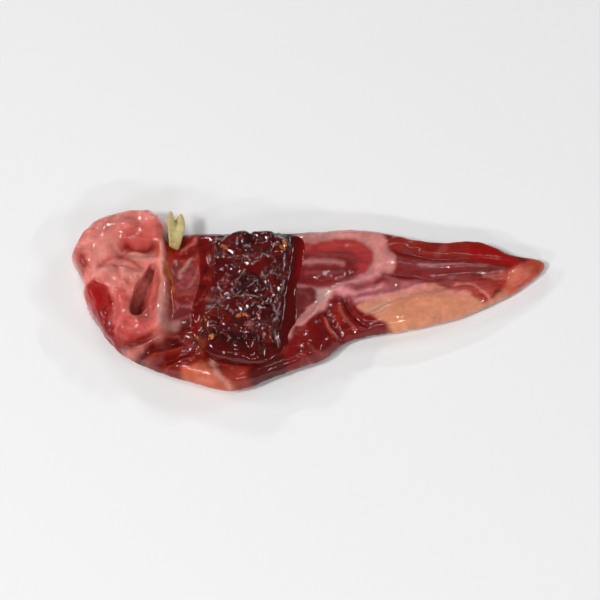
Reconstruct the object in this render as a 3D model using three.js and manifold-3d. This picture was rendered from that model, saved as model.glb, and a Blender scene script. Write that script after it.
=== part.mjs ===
// A raw veal slice of teardrop cut, with a band of chunky chilli sauce across it and a shred of garlic
// beside the band. Millimetres, +Z up. The slice lies flat: its round, folded end is at -X and its tip
// at +X, and the origin is under the middle of its box, on the surface that it lies on.
import * as THREE from "three";
import { mergeVertices } from "three/addons/utils/BufferGeometryUtils.js";
import Module from "manifold-3d";

const wasm = await Module();
wasm.setup();

// Driving dimensions of the slice
const LENGTH = 130;
const WIDTH = 53;
const LOBE_THICKNESS = 9.5;
const MIDDLE_THICKNESS = 7;
const TIP_THICKNESS = 4.5;
const EDGE_ROUNDING = 3.2;
const FOOT_ROUNDING = 1.6;
const EDGE_HEIGHT_SHARE = 0.38;
const LOBE_FALLS_OFF = [-1.5, 3.5];

// Driving dimensions of the sauce: a thick mass between two thin films, one along each side
const SAUCE_THICKNESS = 2.2;
const SAUCE_ROUNDING = 2.6;
const FILM_THICKNESS = 0.9;
const FILM_WIDTH = 4.2;
const SMEAR_WIDTH = 3.4;
const SAUCE_SINK = 1.2;
const SAUCE_LUMPS = 60;
const LUMP_RADII = [1.6, 3.2];
const LUMP_HEIGHTS = [0.8, 2.0];

// Seeds and chopped bits that stand out of the sauce
const MORSELS = 44;
const SEEDS_IN_FIVE = 3;
const MORSEL_SPREAD = [0.35, 0.42];
const MORSEL_SCALES = [0.8, 1.2];
const MORSEL_TILT = 0.7;
const SEED_HALF_SIZES = [1.45, 1.2, 0.6];
const BIT_HALF_SIZES = [1.9, 1.3, 1.0];

// The gap kept between pieces that lie on each other
const GAP = 0.3;

// Seeds of the two random draws
const LUMP_SEED = 20;
const MORSEL_SEED = 7;

// Colour and roughness of each piece
const MEAT_FINISH = { color: 0xa93a3f, roughness: 0.35 };
const SAUCE_FINISH = { color: 0x5b0f0c, roughness: 0.18 };
const GARLIC_FINISH = { color: 0xc8b070, roughness: 0.45 };

// How finely the solids are faceted, and how far their first and last rings stay inside the outline
const SLICE_STATIONS = 80;
const SLICE_TOP_STEPS = 34;
const SLICE_FOOT_STEPS = 10;
const LOBE_CROWDING = 0.4;
const SAUCE_STATIONS = 34;
const SAUCE_STEPS = 26;
const OUTLINE_SAMPLES = 360;
const LINE_SAMPLES = 24;
const END_INSET = 0.12;
const SIDE_INSET = 0.02;
const EVEN_SHARE = 0.65;

// Shapes in plan, as shares of the slice's length and width
const SLICE_OUTLINE = [
  [0.5, 0.33], [0.435, 0.366], [0.355, 0.432], [0.27, 0.41], [0.18, 0.443], [0.1, 0.457],
  [0.005, 0.428], [-0.1, 0.403], [-0.18, 0.393], [-0.24, 0.387], [-0.278, 0.376],
  [-0.315, 0.465], [-0.35, 0.5], [-0.43, 0.45], [-0.472, 0.375], [-0.493, 0.26],
  [-0.497, 0.19], [-0.468, 0.083], [-0.45, -0.06], [-0.397, -0.235], [-0.355, -0.335],
  [-0.265, -0.425], [-0.19, -0.47], [-0.13, -0.5], [-0.085, -0.475], [-0.03, -0.405],
  [0.012, -0.355], [0.068, -0.29], [0.1, -0.19], [0.178, -0.13], [0.226, -0.1],
  [0.332, -0.008], [0.402, 0.09], [0.466, 0.21],
];
const FILM_EDGE = [
  [-0.03, -0.32], [-0.005, -0.22], [0.003, -0.08], [-0.006, 0.05], [0.002, 0.2], [-0.002, 0.35],
  [-0.03, 0.388],
];
const SMEAR_EDGE = [
  [-0.19, 0.366], [-0.228, 0.335], [-0.224, 0.2], [-0.216, 0.07], [-0.222, -0.07], [-0.22, -0.17],
  [-0.205, -0.26],
];
const SAUCE_OUTLINE = [
  ...FILM_EDGE, [-0.1, 0.381], ...SMEAR_EDGE, [-0.175, -0.335], [-0.12, -0.375], [-0.07, -0.37],
];

// The pale ridge of membrane that parts the folded end from the flat of the slice
const MEMBRANE_RIDGE = [
  [-0.322, 0.42], [-0.299, 0.27], [-0.286, 0.13], [-0.278, -0.01], [-0.274, -0.16], [-0.272, -0.29],
];

// The open slit where the folded end doesn't meet that ridge: widest past its middle, with one wall that
// leans under the folded end and one that slopes up to the ridge
const SLIT = [[-0.309, 0.14], [-0.317, 0.05], [-0.324, -0.06], [-0.328, -0.16]];
const SLIT_WIDTH = 4.0;
const SLIT_DEPTH = 5.6;
const SLIT_LEAN = 1.8;
const SLIT_WALL_SLOPE = 1.5;
const SLIT_END_SHARE = 0.3;
const SLIT_WIDEST_POWER = 1.5;
const SLIT_ABOVE = 4;
const SLIT_WALL_FOOT = 1;

// Relief of the top: each stroke runs along a path, this wide each side and this high, or deep if below 0
const STROKES = [
  { path: MEMBRANE_RIDGE, width: 2.1, height: 1.5 },
  { path: [[-0.395, 0.215], [-0.345, 0.203], [-0.315, 0.215]], width: 1.4, height: -2.3 },
  { path: [[-0.43, 0.1], [-0.409, 0.143], [-0.39, 0.175], [-0.384, 0.217]], width: 1.3, height: -1.7 },
  { path: [[-0.47, 0.05], [-0.43, 0.038], [-0.405, 0.005], [-0.39, -0.06]], width: 1.5, height: -1.8 },
  { path: [[-0.39, -0.06], [-0.384, -0.13], [-0.38, -0.22], [-0.36, -0.31]], width: 1.5, height: -1.6 },
  { path: [[-0.375, 0.12], [-0.35, 0.1]], width: 1.2, height: -1.0 },
  { path: [[-0.44, 0.28], [-0.4, 0.34], [-0.345, 0.3]], width: 3.8, height: 1.4 },
  { path: [[-0.42, 0.19], [-0.415, 0.24]], width: 2.4, height: 1.0 },
  { path: [[-0.42, 0.06], [-0.39, 0.09]], width: 2.2, height: 1.3 },
  { path: [[-0.36, 0.05], [-0.355, -0.04]], width: 2.2, height: 0.9 },
  { path: [[-0.425, -0.06], [-0.415, -0.14]], width: 2.2, height: 0.9 },
  { path: [[-0.36, -0.17], [-0.33, -0.23]], width: 3.0, height: 1.1 },
  { path: [[-0.375, -0.31], [-0.31, -0.285], [-0.26, -0.215], [-0.22, -0.17]], width: 1.4, height: -1.6 },
  { path: [[-0.355, -0.33], [-0.318, -0.335], [-0.277, -0.302], [-0.24, -0.24]], width: 1.3, height: 0.9 },
  { path: [[-0.34, -0.38], [-0.315, -0.372], [-0.28, -0.34], [-0.22, -0.27]], width: 1.2, height: -1.5 },
  { path: [[-0.3, -0.4], [-0.273, -0.374], [-0.241, -0.325], [-0.21, -0.292]], width: 1.2, height: 0.9 },
  { path: [[-0.27, -0.42], [-0.243, -0.381], [-0.21, -0.335]], width: 1.2, height: -1.3 },
  { path: [[-0.22, -0.41], [-0.15, -0.445], [-0.09, -0.43]], width: 2.4, height: 0.9 },
  { path: [[0.035, 0.29], [0.1, 0.31], [0.135, 0.22], [0.08, 0.12], [0.02, 0.11]], width: 1.1, height: -0.8 },
  { path: [[0.03, 0.2], [0.1, 0.21]], width: 4.2, height: 0.9 },
  { path: [[0.11, 0.113], [0.075, 0.023], [0.042, -0.064], [0.015, -0.15]], width: 1.9, height: 0.9 },
  { path: [[0.112, 0.06], [0.165, 0.09], [0.21, 0.115], [0.3, 0.155]], width: 1.2, height: -1.0 },
  { path: [[0.063, -0.07], [0.09, -0.165], [0.115, -0.22]], width: 1.8, height: -1.5 },
  { path: [[0.087, 0.0], [0.108, -0.1], [0.144, -0.16], [0.2, -0.145]], width: 1.8, height: -1.3 },
  { path: [[0.03, -0.16], [0.05, -0.24], [0.03, -0.3]], width: 2.2, height: 0.9 },
  { path: [[0.14, -0.03], [0.17, 0.02], [0.21, 0.07], [0.32, 0.16], [0.41, 0.22]], width: 1.2, height: -1.1 },
  { path: [[0.19, -0.03], [0.27, 0.04], [0.35, 0.11]], width: 3.4, height: 0.8 },
  { path: [[0.18, 0.335], [0.27, 0.3], [0.36, 0.31], [0.43, 0.3]], width: 1.3, height: -1.2 },
  { path: [[0.17, 0.27], [0.25, 0.24], [0.34, 0.26], [0.42, 0.275]], width: 1.9, height: 1.1 },
  { path: [[0.17, 0.2], [0.24, 0.185], [0.32, 0.21], [0.42, 0.25]], width: 1.2, height: -1.0 },
];

// The shred of garlic at the notch beside the sauce: its line in plan and its half sizes
const GARLIC_LINE = [[-0.274, 0.242], [-0.275, 0.3], [-0.278, 0.36], [-0.283, 0.43]];
const GARLIC_HALF_WIDTH = 2.2;
const GARLIC_HALF_THICKNESS = 1.1;
const GARLIC_END_SHARE = 0.12;
const GARLIC_CORNERS = 10;
const GARLIC_LEVEL_AFTER = 5;

const place = ([u, v]) => new THREE.Vector2(u * LENGTH, v * WIDTH);
const clamp01 = (t) => Math.min(1, Math.max(0, t));
const smooth = (from, to, t) => {
  const s = clamp01((t - from) / (to - from));
  return s * s * (3 - 2 * s);
};

// A seeded draw from 0 to 1, so that each build gives the same solids
function seededDraw(seed) {
  let state = seed;
  return () => {
    state = (state * 1664525 + 1013904223) % 4294967296;
    return state / 4294967296;
  };
}

// A smooth line through points in plan
function curvePoints(path, closed, samples) {
  const through = path.map(place).map((p) => new THREE.Vector3(p.x, p.y, 0));
  return new THREE.CatmullRomCurve3(through, closed, "centripetal").getSpacedPoints(samples);
}

function distanceToSegment(x, y, a, b) {
  const dx = b.x - a.x;
  const dy = b.y - a.y;
  const t = clamp01(((x - a.x) * dx + (y - a.y) * dy) / (dx * dx + dy * dy));
  return Math.hypot(x - a.x - t * dx, y - a.y - t * dy);
}

function distanceToLine(x, y, line) {
  let nearest = Infinity;
  for (let i = 1; i < line.length; i++) {
    nearest = Math.min(nearest, distanceToSegment(x, y, line[i - 1], line[i]));
  }
  return nearest;
}

// The two places where a closed outline crosses the line axis = value, low one first
function crossings(outline, axis, value) {
  const other = axis === "x" ? "y" : "x";
  const found = [];
  for (let i = 1; i < outline.length; i++) {
    const a = outline[i - 1];
    const b = outline[i];
    if ((a[axis] - value) * (b[axis] - value) <= 0 && a[axis] !== b[axis]) {
      const t = (value - a[axis]) / (b[axis] - a[axis]);
      found.push(a[other] + t * (b[other] - a[other]));
    }
  }
  return [Math.min(...found), Math.max(...found)];
}

// Stretches an outline so that it is exactly as long and as wide as it should be, about its middle
function fitted(outline, length, width) {
  const box = new THREE.Box3().setFromPoints(outline);
  const middle = box.getCenter(new THREE.Vector3());
  const size = box.getSize(new THREE.Vector3());
  return outline.map(
    (p) => new THREE.Vector3(((p.x - middle.x) * length) / size.x, ((p.y - middle.y) * width) / size.y, 0),
  );
}

const sliceOutline = fitted(
  curvePoints(SLICE_OUTLINE, true, OUTLINE_SAMPLES),
  LENGTH + 2 * END_INSET,
  WIDTH + 2 * SIDE_INSET,
);
const sauceOutline = curvePoints(SAUCE_OUTLINE, true, OUTLINE_SAMPLES);
const filmEdge = curvePoints(FILM_EDGE, false, LINE_SAMPLES);
const smearEdge = curvePoints(SMEAR_EDGE, false, LINE_SAMPLES);
const strokeLines = STROKES.map(({ path, width, height }) => {
  return { line: curvePoints(path, false, LINE_SAMPLES), width, height };
});
const ridgeLine = curvePoints(MEMBRANE_RIDGE, false, LINE_SAMPLES);

// How far right of the membrane ridge a place is
function pastRidge(x, y) {
  const nearest = ridgeLine.reduce((a, b) => (Math.abs(b.y - y) < Math.abs(a.y - y) ? b : a));
  return x - nearest.x;
}

// The full thickness of the meat at a place, before its edge is rounded
function thicknessAt(x, y) {
  const flat = THREE.MathUtils.lerp(MIDDLE_THICKNESS, TIP_THICKNESS, smooth(0, LENGTH / 2, x));
  let thickness = THREE.MathUtils.lerp(LOBE_THICKNESS, flat, smooth(...LOBE_FALLS_OFF, pastRidge(x, y)));
  for (const { line, width, height } of strokeLines) {
    thickness += height * Math.exp(-((distanceToLine(x, y, line) / width) ** 2));
  }
  return thickness;
}

// A quarter round: 0 at the edge, 1 from the radius inwards
const quarterRound = (distance, radius) => Math.sqrt(1 - (1 - clamp01(distance / radius)) ** 2);

// Heights of the slice's top and foot at a place, with the edge rounded between them
function sliceHeights(x, y) {
  const full = thicknessAt(x, y);
  const edge = Math.min(full, MIDDLE_THICKNESS) * EDGE_HEIGHT_SHARE;
  const inside = distanceToLine(x, y, sliceOutline);
  return {
    top: edge + (full - edge) * quarterRound(inside, EDGE_ROUNDING),
    foot: edge * (1 - quarterRound(inside, FOOT_ROUNDING)),
  };
}

// A closed solid from rings of points, each end closed by a fan about the middle of its ring
function loft(rings) {
  const count = rings[0].length;
  const middles = [rings[0], rings[rings.length - 1]].map((ring) =>
    ring.reduce((sum, p) => sum.add(p), new THREE.Vector3()).divideScalar(count),
  );
  const positions = [...rings.flat(), ...middles].flatMap((p) => [p.x, p.y, p.z]);
  const faces = [];
  for (let i = 0; i < rings.length - 1; i++) {
    for (let j = 0; j < count; j++) {
      const [a, b] = [i * count + j, i * count + ((j + 1) % count)];
      faces.push(a, b, a + count, b, b + count, a + count);
    }
  }
  const last = (rings.length - 1) * count;
  for (let j = 0; j < count; j++) {
    const next = (j + 1) % count;
    faces.push(rings.length * count, next, j);
    faces.push(rings.length * count + 1, last + j, last + next);
  }
  const geometry = new THREE.BufferGeometry();
  geometry.setAttribute("position", new THREE.Float32BufferAttribute(positions, 3));
  geometry.setIndex(faces);
  return geometry;
}

function toSolid(geometry) {
  const bare = geometry.clone();
  for (const name of Object.keys(bare.attributes)) {
    if (name !== "position") bare.deleteAttribute(name);
  }
  const merged = mergeVertices(bare);
  return new wasm.Manifold(
    new wasm.Mesh({
      numProp: 3,
      vertProperties: new Float32Array(merged.attributes.position.array),
      triVerts: new Uint32Array(merged.index.array),
    }),
  );
}

function toMesh(name, solid, finish) {
  const { numProp, numVert, vertProperties, triVerts } = solid.getMesh();
  const positions = new Float32Array(numVert * 3);
  for (let i = 0; i < numVert; i++) {
    positions.set(vertProperties.subarray(i * numProp, i * numProp + 3), i * 3);
  }
  const geometry = new THREE.BufferGeometry();
  geometry.setAttribute("position", new THREE.BufferAttribute(positions, 3));
  geometry.setIndex(new THREE.BufferAttribute(triVerts, 1));
  geometry.computeVertexNormals();
  const mesh = new THREE.Mesh(geometry, new THREE.MeshStandardMaterial({ ...finish, metalness: 0 }));
  mesh.name = name;
  return mesh;
}

// Steps from low to high that crowd a little towards both ends
function crowded(low, high, steps) {
  return Array.from({ length: steps + 1 }, (_, i) => {
    const even = i / steps;
    const towardsEnds = (1 - Math.cos(Math.PI * even)) / 2;
    return THREE.MathUtils.lerp(low, high, EVEN_SHARE * even + (1 - EVEN_SHARE) * towardsEnds);
  });
}

// The meat, grown by gap on its top and sides where something has to keep clear of it
function sliceSolid(gap) {
  const rings = crowded(0, 1, SLICE_STATIONS).map((share) => {
    const x = LENGTH * (share * (1 - LOBE_CROWDING * (1 - share)) - 0.5);
    const [low, high] = crossings(sliceOutline, "x", x);
    const across = crowded(low + SIDE_INSET, high - SIDE_INSET, SLICE_TOP_STEPS);
    const under = crowded(low + SIDE_INSET, high - SIDE_INSET, SLICE_FOOT_STEPS).slice(1, -1);
    const grow = (y) => (gap * (2 * y - low - high)) / (high - low);
    return [
      ...across.reverse().map((y) => new THREE.Vector3(x, y + grow(y), sliceHeights(x, y).top + gap)),
      ...under.map((y) => new THREE.Vector3(x, y + grow(y), sliceHeights(x, y).foot - gap)),
    ];
  });
  return toSolid(loft(rings));
}

// The wedge that the slit takes out of the meat
function slitSolid() {
  const line = curvePoints(SLIT, false, LINE_SAMPLES / 2);
  const above = LOBE_THICKNESS + SLIT_ABOVE;
  const floor = LOBE_THICKNESS - SLIT_DEPTH;
  const rings = line.map((p, i) => {
    const bulge = Math.sin(Math.PI * (i / (line.length - 1)) ** SLIT_WIDEST_POWER);
    const open = SLIT_END_SHARE + (1 - SLIT_END_SHARE) * bulge;
    const half = (SLIT_WIDTH / 2) * open;
    return [
      new THREE.Vector3(p.x + half + 2 * SLIT_WALL_SLOPE * open, p.y, above),
      new THREE.Vector3(p.x - half, p.y, above),
      new THREE.Vector3(p.x - half - SLIT_LEAN, p.y, floor + SLIT_WALL_FOOT),
      new THREE.Vector3(p.x - SLIT_LEAN, p.y, floor),
      new THREE.Vector3(p.x + (half - SLIT_LEAN) / 2, p.y, floor + SLIT_WALL_FOOT),
    ];
  });
  return toSolid(loft(rings));
}

// Seeded lumps of chopped chilli under the sauce's skin: place, radius and height
function sauceLumps() {
  const draw = seededDraw(LUMP_SEED);
  const box = new THREE.Box3().setFromPoints(sauceOutline);
  return Array.from({ length: SAUCE_LUMPS }, () => ({
    x: THREE.MathUtils.lerp(box.min.x, box.max.x, draw()),
    y: THREE.MathUtils.lerp(box.min.y, box.max.y, draw()),
    radius: THREE.MathUtils.lerp(...LUMP_RADII, draw()),
    height: THREE.MathUtils.lerp(...LUMP_HEIGHTS, draw()),
  }));
}
const lumps = sauceLumps();

// Height of the sauce's top at a place, with the meat under it
function sauceTop(x, y) {
  const rounded = quarterRound(distanceToLine(x, y, sauceOutline), SAUCE_ROUNDING);
  const pastFilm = smooth(FILM_WIDTH - 1, FILM_WIDTH + 1, distanceToLine(x, y, filmEdge));
  const pastSmear = smooth(SMEAR_WIDTH - 1, SMEAR_WIDTH + 1, distanceToLine(x, y, smearEdge));
  const mass = pastFilm * pastSmear;
  const bulges = lumps.map((lump) => {
    const away = Math.hypot(x - lump.x, y - lump.y) / lump.radius;
    return lump.height * Math.exp(-away * away);
  });
  const thickness = THREE.MathUtils.lerp(FILM_THICKNESS, SAUCE_THICKNESS + Math.max(...bulges), mass);
  return sliceHeights(x, y).top + GAP + thickness * rounded;
}

// The sauce's own mass, sunk into the meat, from which the meat is cut away later
function sauceMass() {
  const box = new THREE.Box3().setFromPoints(sauceOutline);
  const rings = crowded(box.min.y + END_INSET, box.max.y - END_INSET, SAUCE_STATIONS).map((y) => {
    const [low, high] = crossings(sauceOutline, "y", y);
    const across = crowded(low + SIDE_INSET, high - SIDE_INSET, SAUCE_STEPS);
    const sunk = (x) => sliceHeights(x, y).top - SAUCE_SINK;
    return [
      ...across.map((x) => new THREE.Vector3(x, y, sauceTop(x, y))),
      ...across.slice().reverse().map((x) => new THREE.Vector3(x, y, sunk(x))),
    ];
  });
  return toSolid(loft(rings));
}

// A small low-sided lump, turned about Z and tilted a little
function morsel(halfSizes, x, y, z, turn, tilt) {
  const geometry = new THREE.IcosahedronGeometry(1, 0);
  geometry.scale(...halfSizes);
  geometry.rotateX(tilt);
  geometry.rotateZ(turn);
  geometry.translate(x, y, z);
  return toSolid(geometry);
}

// Seeds and chopped bits that stand out of the sauce, spread evenly by a sunflower spiral
function morsels() {
  const draw = seededDraw(MORSEL_SEED);
  const box = new THREE.Box3().setFromPoints(sauceOutline);
  const size = box.getSize(new THREE.Vector3());
  const middle = box.getCenter(new THREE.Vector3());
  const goldenTurn = Math.PI * (3 - Math.sqrt(5));
  return Array.from({ length: MORSELS }, (_, i) => {
    const out = Math.sqrt((i + 0.5) / MORSELS);
    const x = middle.x + size.x * MORSEL_SPREAD[0] * out * Math.cos(i * goldenTurn);
    const y = middle.y + size.y * MORSEL_SPREAD[1] * out * Math.sin(i * goldenTurn);
    const scale = THREE.MathUtils.lerp(...MORSEL_SCALES, draw());
    const halfSizes = (i % 5 < SEEDS_IN_FIVE ? SEED_HALF_SIZES : BIT_HALF_SIZES).map((half) => half * scale);
    return morsel(halfSizes, x, y, sauceTop(x, y), draw() * Math.PI, (draw() - 0.5) * MORSEL_TILT);
  });
}

// The sauce with all that is in it, cut clear of the meat; a loose scrap is dropped
function sauceSolid() {
  const whole = morsels().reduce((sum, piece) => sum.add(piece), sauceMass());
  const clear = whole.subtract(sliceSolid(GAP));
  return clear.decompose().reduce((a, b) => (a.volume() > b.volume() ? a : b));
}

// The shred of garlic: a flat strip that leans on the ridge's flank, follows the meat under it and then
// runs level past the meat's edge
function garlicSolid() {
  const line = curvePoints(GARLIC_LINE, false, LINE_SAMPLES / 2);
  const lastOnMeat = line[0].y + GARLIC_LEVEL_AFTER;
  const rings = line.map((p, i) => {
    const along = THREE.MathUtils.lerp(GARLIC_END_SHARE, 1 - GARLIC_END_SHARE, i / (line.length - 1));
    const taper = Math.sqrt(Math.sin(Math.PI * along));
    return Array.from({ length: GARLIC_CORNERS }, (_, j) => {
      const angle = (2 * Math.PI * j) / GARLIC_CORNERS;
      const x = p.x + GARLIC_HALF_WIDTH * taper * Math.cos(angle);
      const middle = sliceHeights(x, Math.min(p.y, lastOnMeat)).top + GAP + GARLIC_HALF_THICKNESS;
      return new THREE.Vector3(x, p.y, middle - GARLIC_HALF_THICKNESS * taper * Math.sin(angle));
    });
  });
  return toSolid(loft(rings)).subtract(sliceSolid(GAP));
}

const part = new THREE.Group();
part.add(toMesh("veal_slice", sliceSolid(0).subtract(slitSolid()), MEAT_FINISH));
part.add(toMesh("chilli_sauce", sauceSolid(), SAUCE_FINISH));
part.add(toMesh("garlic_shred", garlicSolid(), GARLIC_FINISH));

export default part;
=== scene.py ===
# %% [markdown]
# A raw veal slice cut like a teardrop, with a band of chunky chilli sauce across it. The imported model
# gives the true sizes and places; this script gives the looks. Raw meat is hard to fake with one texture,
# because its colours follow its anatomy: muscle, membrane, folded tissue and fat each have their own
# place. So the slice is sculpted and painted place by place, and only the finest grain is procedural.

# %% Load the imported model
import math

import bpy
import numpy as np
from mathutils import Matrix, Vector
from mathutils.bvhtree import BVHTree


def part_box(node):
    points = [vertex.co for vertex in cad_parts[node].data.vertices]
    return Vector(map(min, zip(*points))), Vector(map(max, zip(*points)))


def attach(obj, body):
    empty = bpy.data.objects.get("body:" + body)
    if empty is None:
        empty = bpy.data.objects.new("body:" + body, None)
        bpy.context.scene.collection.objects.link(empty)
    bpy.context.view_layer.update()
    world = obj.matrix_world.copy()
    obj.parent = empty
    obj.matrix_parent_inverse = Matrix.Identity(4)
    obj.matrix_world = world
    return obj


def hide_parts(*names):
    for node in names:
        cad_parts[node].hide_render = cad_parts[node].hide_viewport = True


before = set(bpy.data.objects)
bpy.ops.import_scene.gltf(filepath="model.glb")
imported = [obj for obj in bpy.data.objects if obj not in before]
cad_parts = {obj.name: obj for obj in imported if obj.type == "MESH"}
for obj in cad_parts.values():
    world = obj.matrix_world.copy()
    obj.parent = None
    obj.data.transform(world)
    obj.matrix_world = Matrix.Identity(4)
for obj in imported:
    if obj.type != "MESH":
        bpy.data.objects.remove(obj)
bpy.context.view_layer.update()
MM = 0.001
slice_low, slice_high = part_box("veal_slice")
print("slice, mm:", [round(side / MM, 1) for side in slice_high - slice_low])

# %% [markdown]
# The camera stands where the photo was taken from, looking down at the slice from its near side. It is
# turned from the middle of the picture to the middle of the slice and zoomed in, which changes neither
# the perspective nor what hides what.

# %% The camera
CAMERA_PLACE = Vector((52.35, -190.85, 369.6)) * MM
PHOTO_FORWARD = Vector((-0.0193, 0.5829, -0.8123))
PHOTO_UP = Vector((-0.0424, 0.8113, 0.5831))
LOOK_AT = Vector((0, 1, 5)) * MM
FIELD_OF_VIEW = 22

forward = (LOOK_AT - CAMERA_PLACE).normalized()
up = PHOTO_FORWARD.rotation_difference(forward) @ PHOTO_UP
right = forward.cross(up).normalized()
up = right.cross(forward)
bpy.ops.object.camera_add()
camera = bpy.context.object
camera.matrix_world = Matrix.Translation(CAMERA_PLACE) @ Matrix((right, up, -forward)).transposed().to_4x4()
camera.data.angle = math.radians(FIELD_OF_VIEW)
bpy.context.scene.camera = camera
print("camera distance, mm:", round((LOOK_AT - CAMERA_PLACE).length / MM))

# %% [markdown]
# Wet food is read by its highlights. A bright sky overhead would lay a grey veil over every level wet
# surface, so the space above stays dark. One softbox models the folds, and a narrow strip overhead draws
# streaks along the muscle. A ring of low panels gives the rest: they are long, thin and bright, and only
# steep little slopes reflect them, as crisp lines along each fold and round each lump of sauce.

# %% Floor and light
FLOOR_SIZE = 8
SURROUNDINGS = 0.09
BACKGROUND = 0.85
LIGHT_DISTANCE = 1.2
KEY = {"azimuth": -48, "elevation": 54, "size": (0.2, 0.2), "power": 7.0}
STREAK = {"azimuth": 20, "elevation": 78, "size": (0.5, 0.025), "power": 1.6}
PANEL_AZIMUTHS = (-155, -100, -30, 20, 70, 125)
PANEL = {"elevation": 30, "size": (0.3, 0.03), "power": 2.3}


def towards(azimuth, elevation):
    """The direction to a light: azimuth 0 is the near side, -Y, and 90 is +X."""
    turn, rise = math.radians(azimuth), math.radians(elevation)
    return Vector((math.sin(turn) * math.cos(rise), -math.cos(turn) * math.cos(rise), math.sin(rise)))


def add_softbox(name, azimuth, elevation, size, power):
    direction = towards(azimuth, elevation)
    bpy.ops.object.light_add(type="AREA", location=direction * LIGHT_DISTANCE)
    box = bpy.context.object
    box.name = name
    box.rotation_euler = direction.to_track_quat("Z", "Y").to_euler()
    box.data.shape = "RECTANGLE"
    box.data.size, box.data.size_y = size
    box.data.energy = power


def plain_world():
    """Dim surroundings for the light, and a pale background behind the floor."""
    world = bpy.data.worlds.new("studio")
    world.use_nodes = True
    nodes, links = world.node_tree.nodes, world.node_tree.links
    seen = nodes.new("ShaderNodeLightPath")
    strength = nodes.new("ShaderNodeMapRange")
    strength.inputs["To Min"].default_value = SURROUNDINGS
    strength.inputs["To Max"].default_value = BACKGROUND
    nodes["Background"].inputs["Color"].default_value = (1, 1, 1, 1)
    links.new(seen.outputs["Is Camera Ray"], strength.inputs["Value"])
    links.new(strength.outputs["Result"], nodes["Background"].inputs["Strength"])
    bpy.context.scene.world = world


add_softbox("key", **KEY)
add_softbox("streak", **STREAK)
for azimuth in PANEL_AZIMUTHS:
    add_softbox(f"panel{azimuth}", azimuth, **PANEL)
plain_world()
bpy.context.scene.view_settings.view_transform = "Standard"

bpy.ops.mesh.primitive_plane_add(size=FLOOR_SIZE)
floor = bpy.context.object
floor.name = "floor"
floor_finish = bpy.data.materials.new("pale floor")
floor_finish.use_nodes = True
floor_shader = floor_finish.node_tree.nodes["Principled BSDF"]
floor_shader.inputs["Base Color"].default_value = (0.8, 0.8, 0.8, 1)
floor_shader.inputs["Roughness"].default_value = 0.9
floor.data.materials.append(floor_finish)
print("lights:", len([KEY, STREAK, *PANEL_AZIMUTHS]))

# %% [markdown]
# Three tools are used by all that follows. Numpy reads and writes all points of a mesh at once, which is
# what a sculpting brush does. A noise function gives repeatable unevenness. And places in plan are given
# as smooth lines and outlines in millimetres, from which each point's distance is measured.

# %% Tools for selecting and for finishing a mesh
def select_only(piece):
    bpy.ops.object.select_all(action="DESELECT")
    piece.select_set(True)
    bpy.context.view_layer.objects.active = piece


def apply_modifier(piece, kind, **settings):
    select_only(piece)
    modifier = piece.modifiers.new(kind.lower(), kind)
    for setting, value in settings.items():
        setattr(modifier, setting, value)
    bpy.ops.object.modifier_apply(modifier=modifier.name)


def merge_doubles(piece):
    select_only(piece)
    bpy.ops.object.mode_set(mode="EDIT")
    bpy.ops.mesh.select_all(action="SELECT")
    bpy.ops.mesh.remove_doubles(threshold=0.002 * MM)
    bpy.ops.object.mode_set(mode="OBJECT")


def copy_of_node(node, name):
    """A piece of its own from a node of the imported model, with its loose triangles merged."""
    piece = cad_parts[node].copy()
    piece.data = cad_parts[node].data.copy()
    piece.data.materials.clear()
    piece.parent = None
    for key in list(piece.keys()):
        del piece[key]
    piece.name = name
    bpy.context.scene.collection.objects.link(piece)
    merge_doubles(piece)
    return piece


def points_of(piece):
    """All points of a mesh, in millimetres."""
    flat = np.empty(len(piece.data.vertices) * 3)
    piece.data.vertices.foreach_get("co", flat)
    return flat.reshape(-1, 3) / MM


def normals_of(piece):
    flat = np.empty(len(piece.data.vertices) * 3)
    piece.data.vertices.foreach_get("normal", flat)
    return flat.reshape(-1, 3)


def move_points(piece, points):
    piece.data.vertices.foreach_set("co", (points * MM).ravel())
    piece.data.update()


def smooth_shading(piece):
    piece.data.polygons.foreach_set("use_smooth", [True] * len(piece.data.polygons))


def triangles_of(piece):
    return sum(len(face.vertices) - 2 for face in piece.data.polygons)


# %% Tools for noise and for places in plan
GRID_MIX = np.array([73856093, 19349663, 83492791])


def corner_values(cells, seed):
    """A repeatable value from -1 to 1 for each corner of a grid."""
    mixed = (cells @ GRID_MIX + seed * 2654435761) & 0xFFFFFFFF
    mixed = ((mixed ^ (mixed >> 13)) * 1274126177) & 0xFFFFFFFF
    mixed = ((mixed ^ (mixed >> 16)) * 2246822519) & 0xFFFFFFFF
    return ((mixed >> 8) & 0xFFFF) / 0x7FFF - 1


def cloud(points, size, seed, octaves=1):
    """Smooth noise about 0 with lumps of a size in millimetres, finer ones added at half the height."""
    total = np.zeros(len(points))
    for octave in range(octaves):
        scaled = points * (2**octave / size)
        cells = np.floor(scaled).astype(np.int64)
        share = scaled - cells
        share = share * share * (3 - 2 * share)
        value = np.zeros(len(points))
        for corner in np.ndindex((2,) * points.shape[1]):
            weight = np.prod(np.where(corner, share, 1 - share), axis=1)
            full = np.zeros((len(points), 3), np.int64)
            full[:, : points.shape[1]] = cells + corner
            value += weight * corner_values(full, seed + octave)
        total += value / 2**octave
    return total


def smoothstep(low, high, value):
    share = np.clip((value - low) / (high - low), 0, 1)
    return share * share * (3 - 2 * share)


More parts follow.
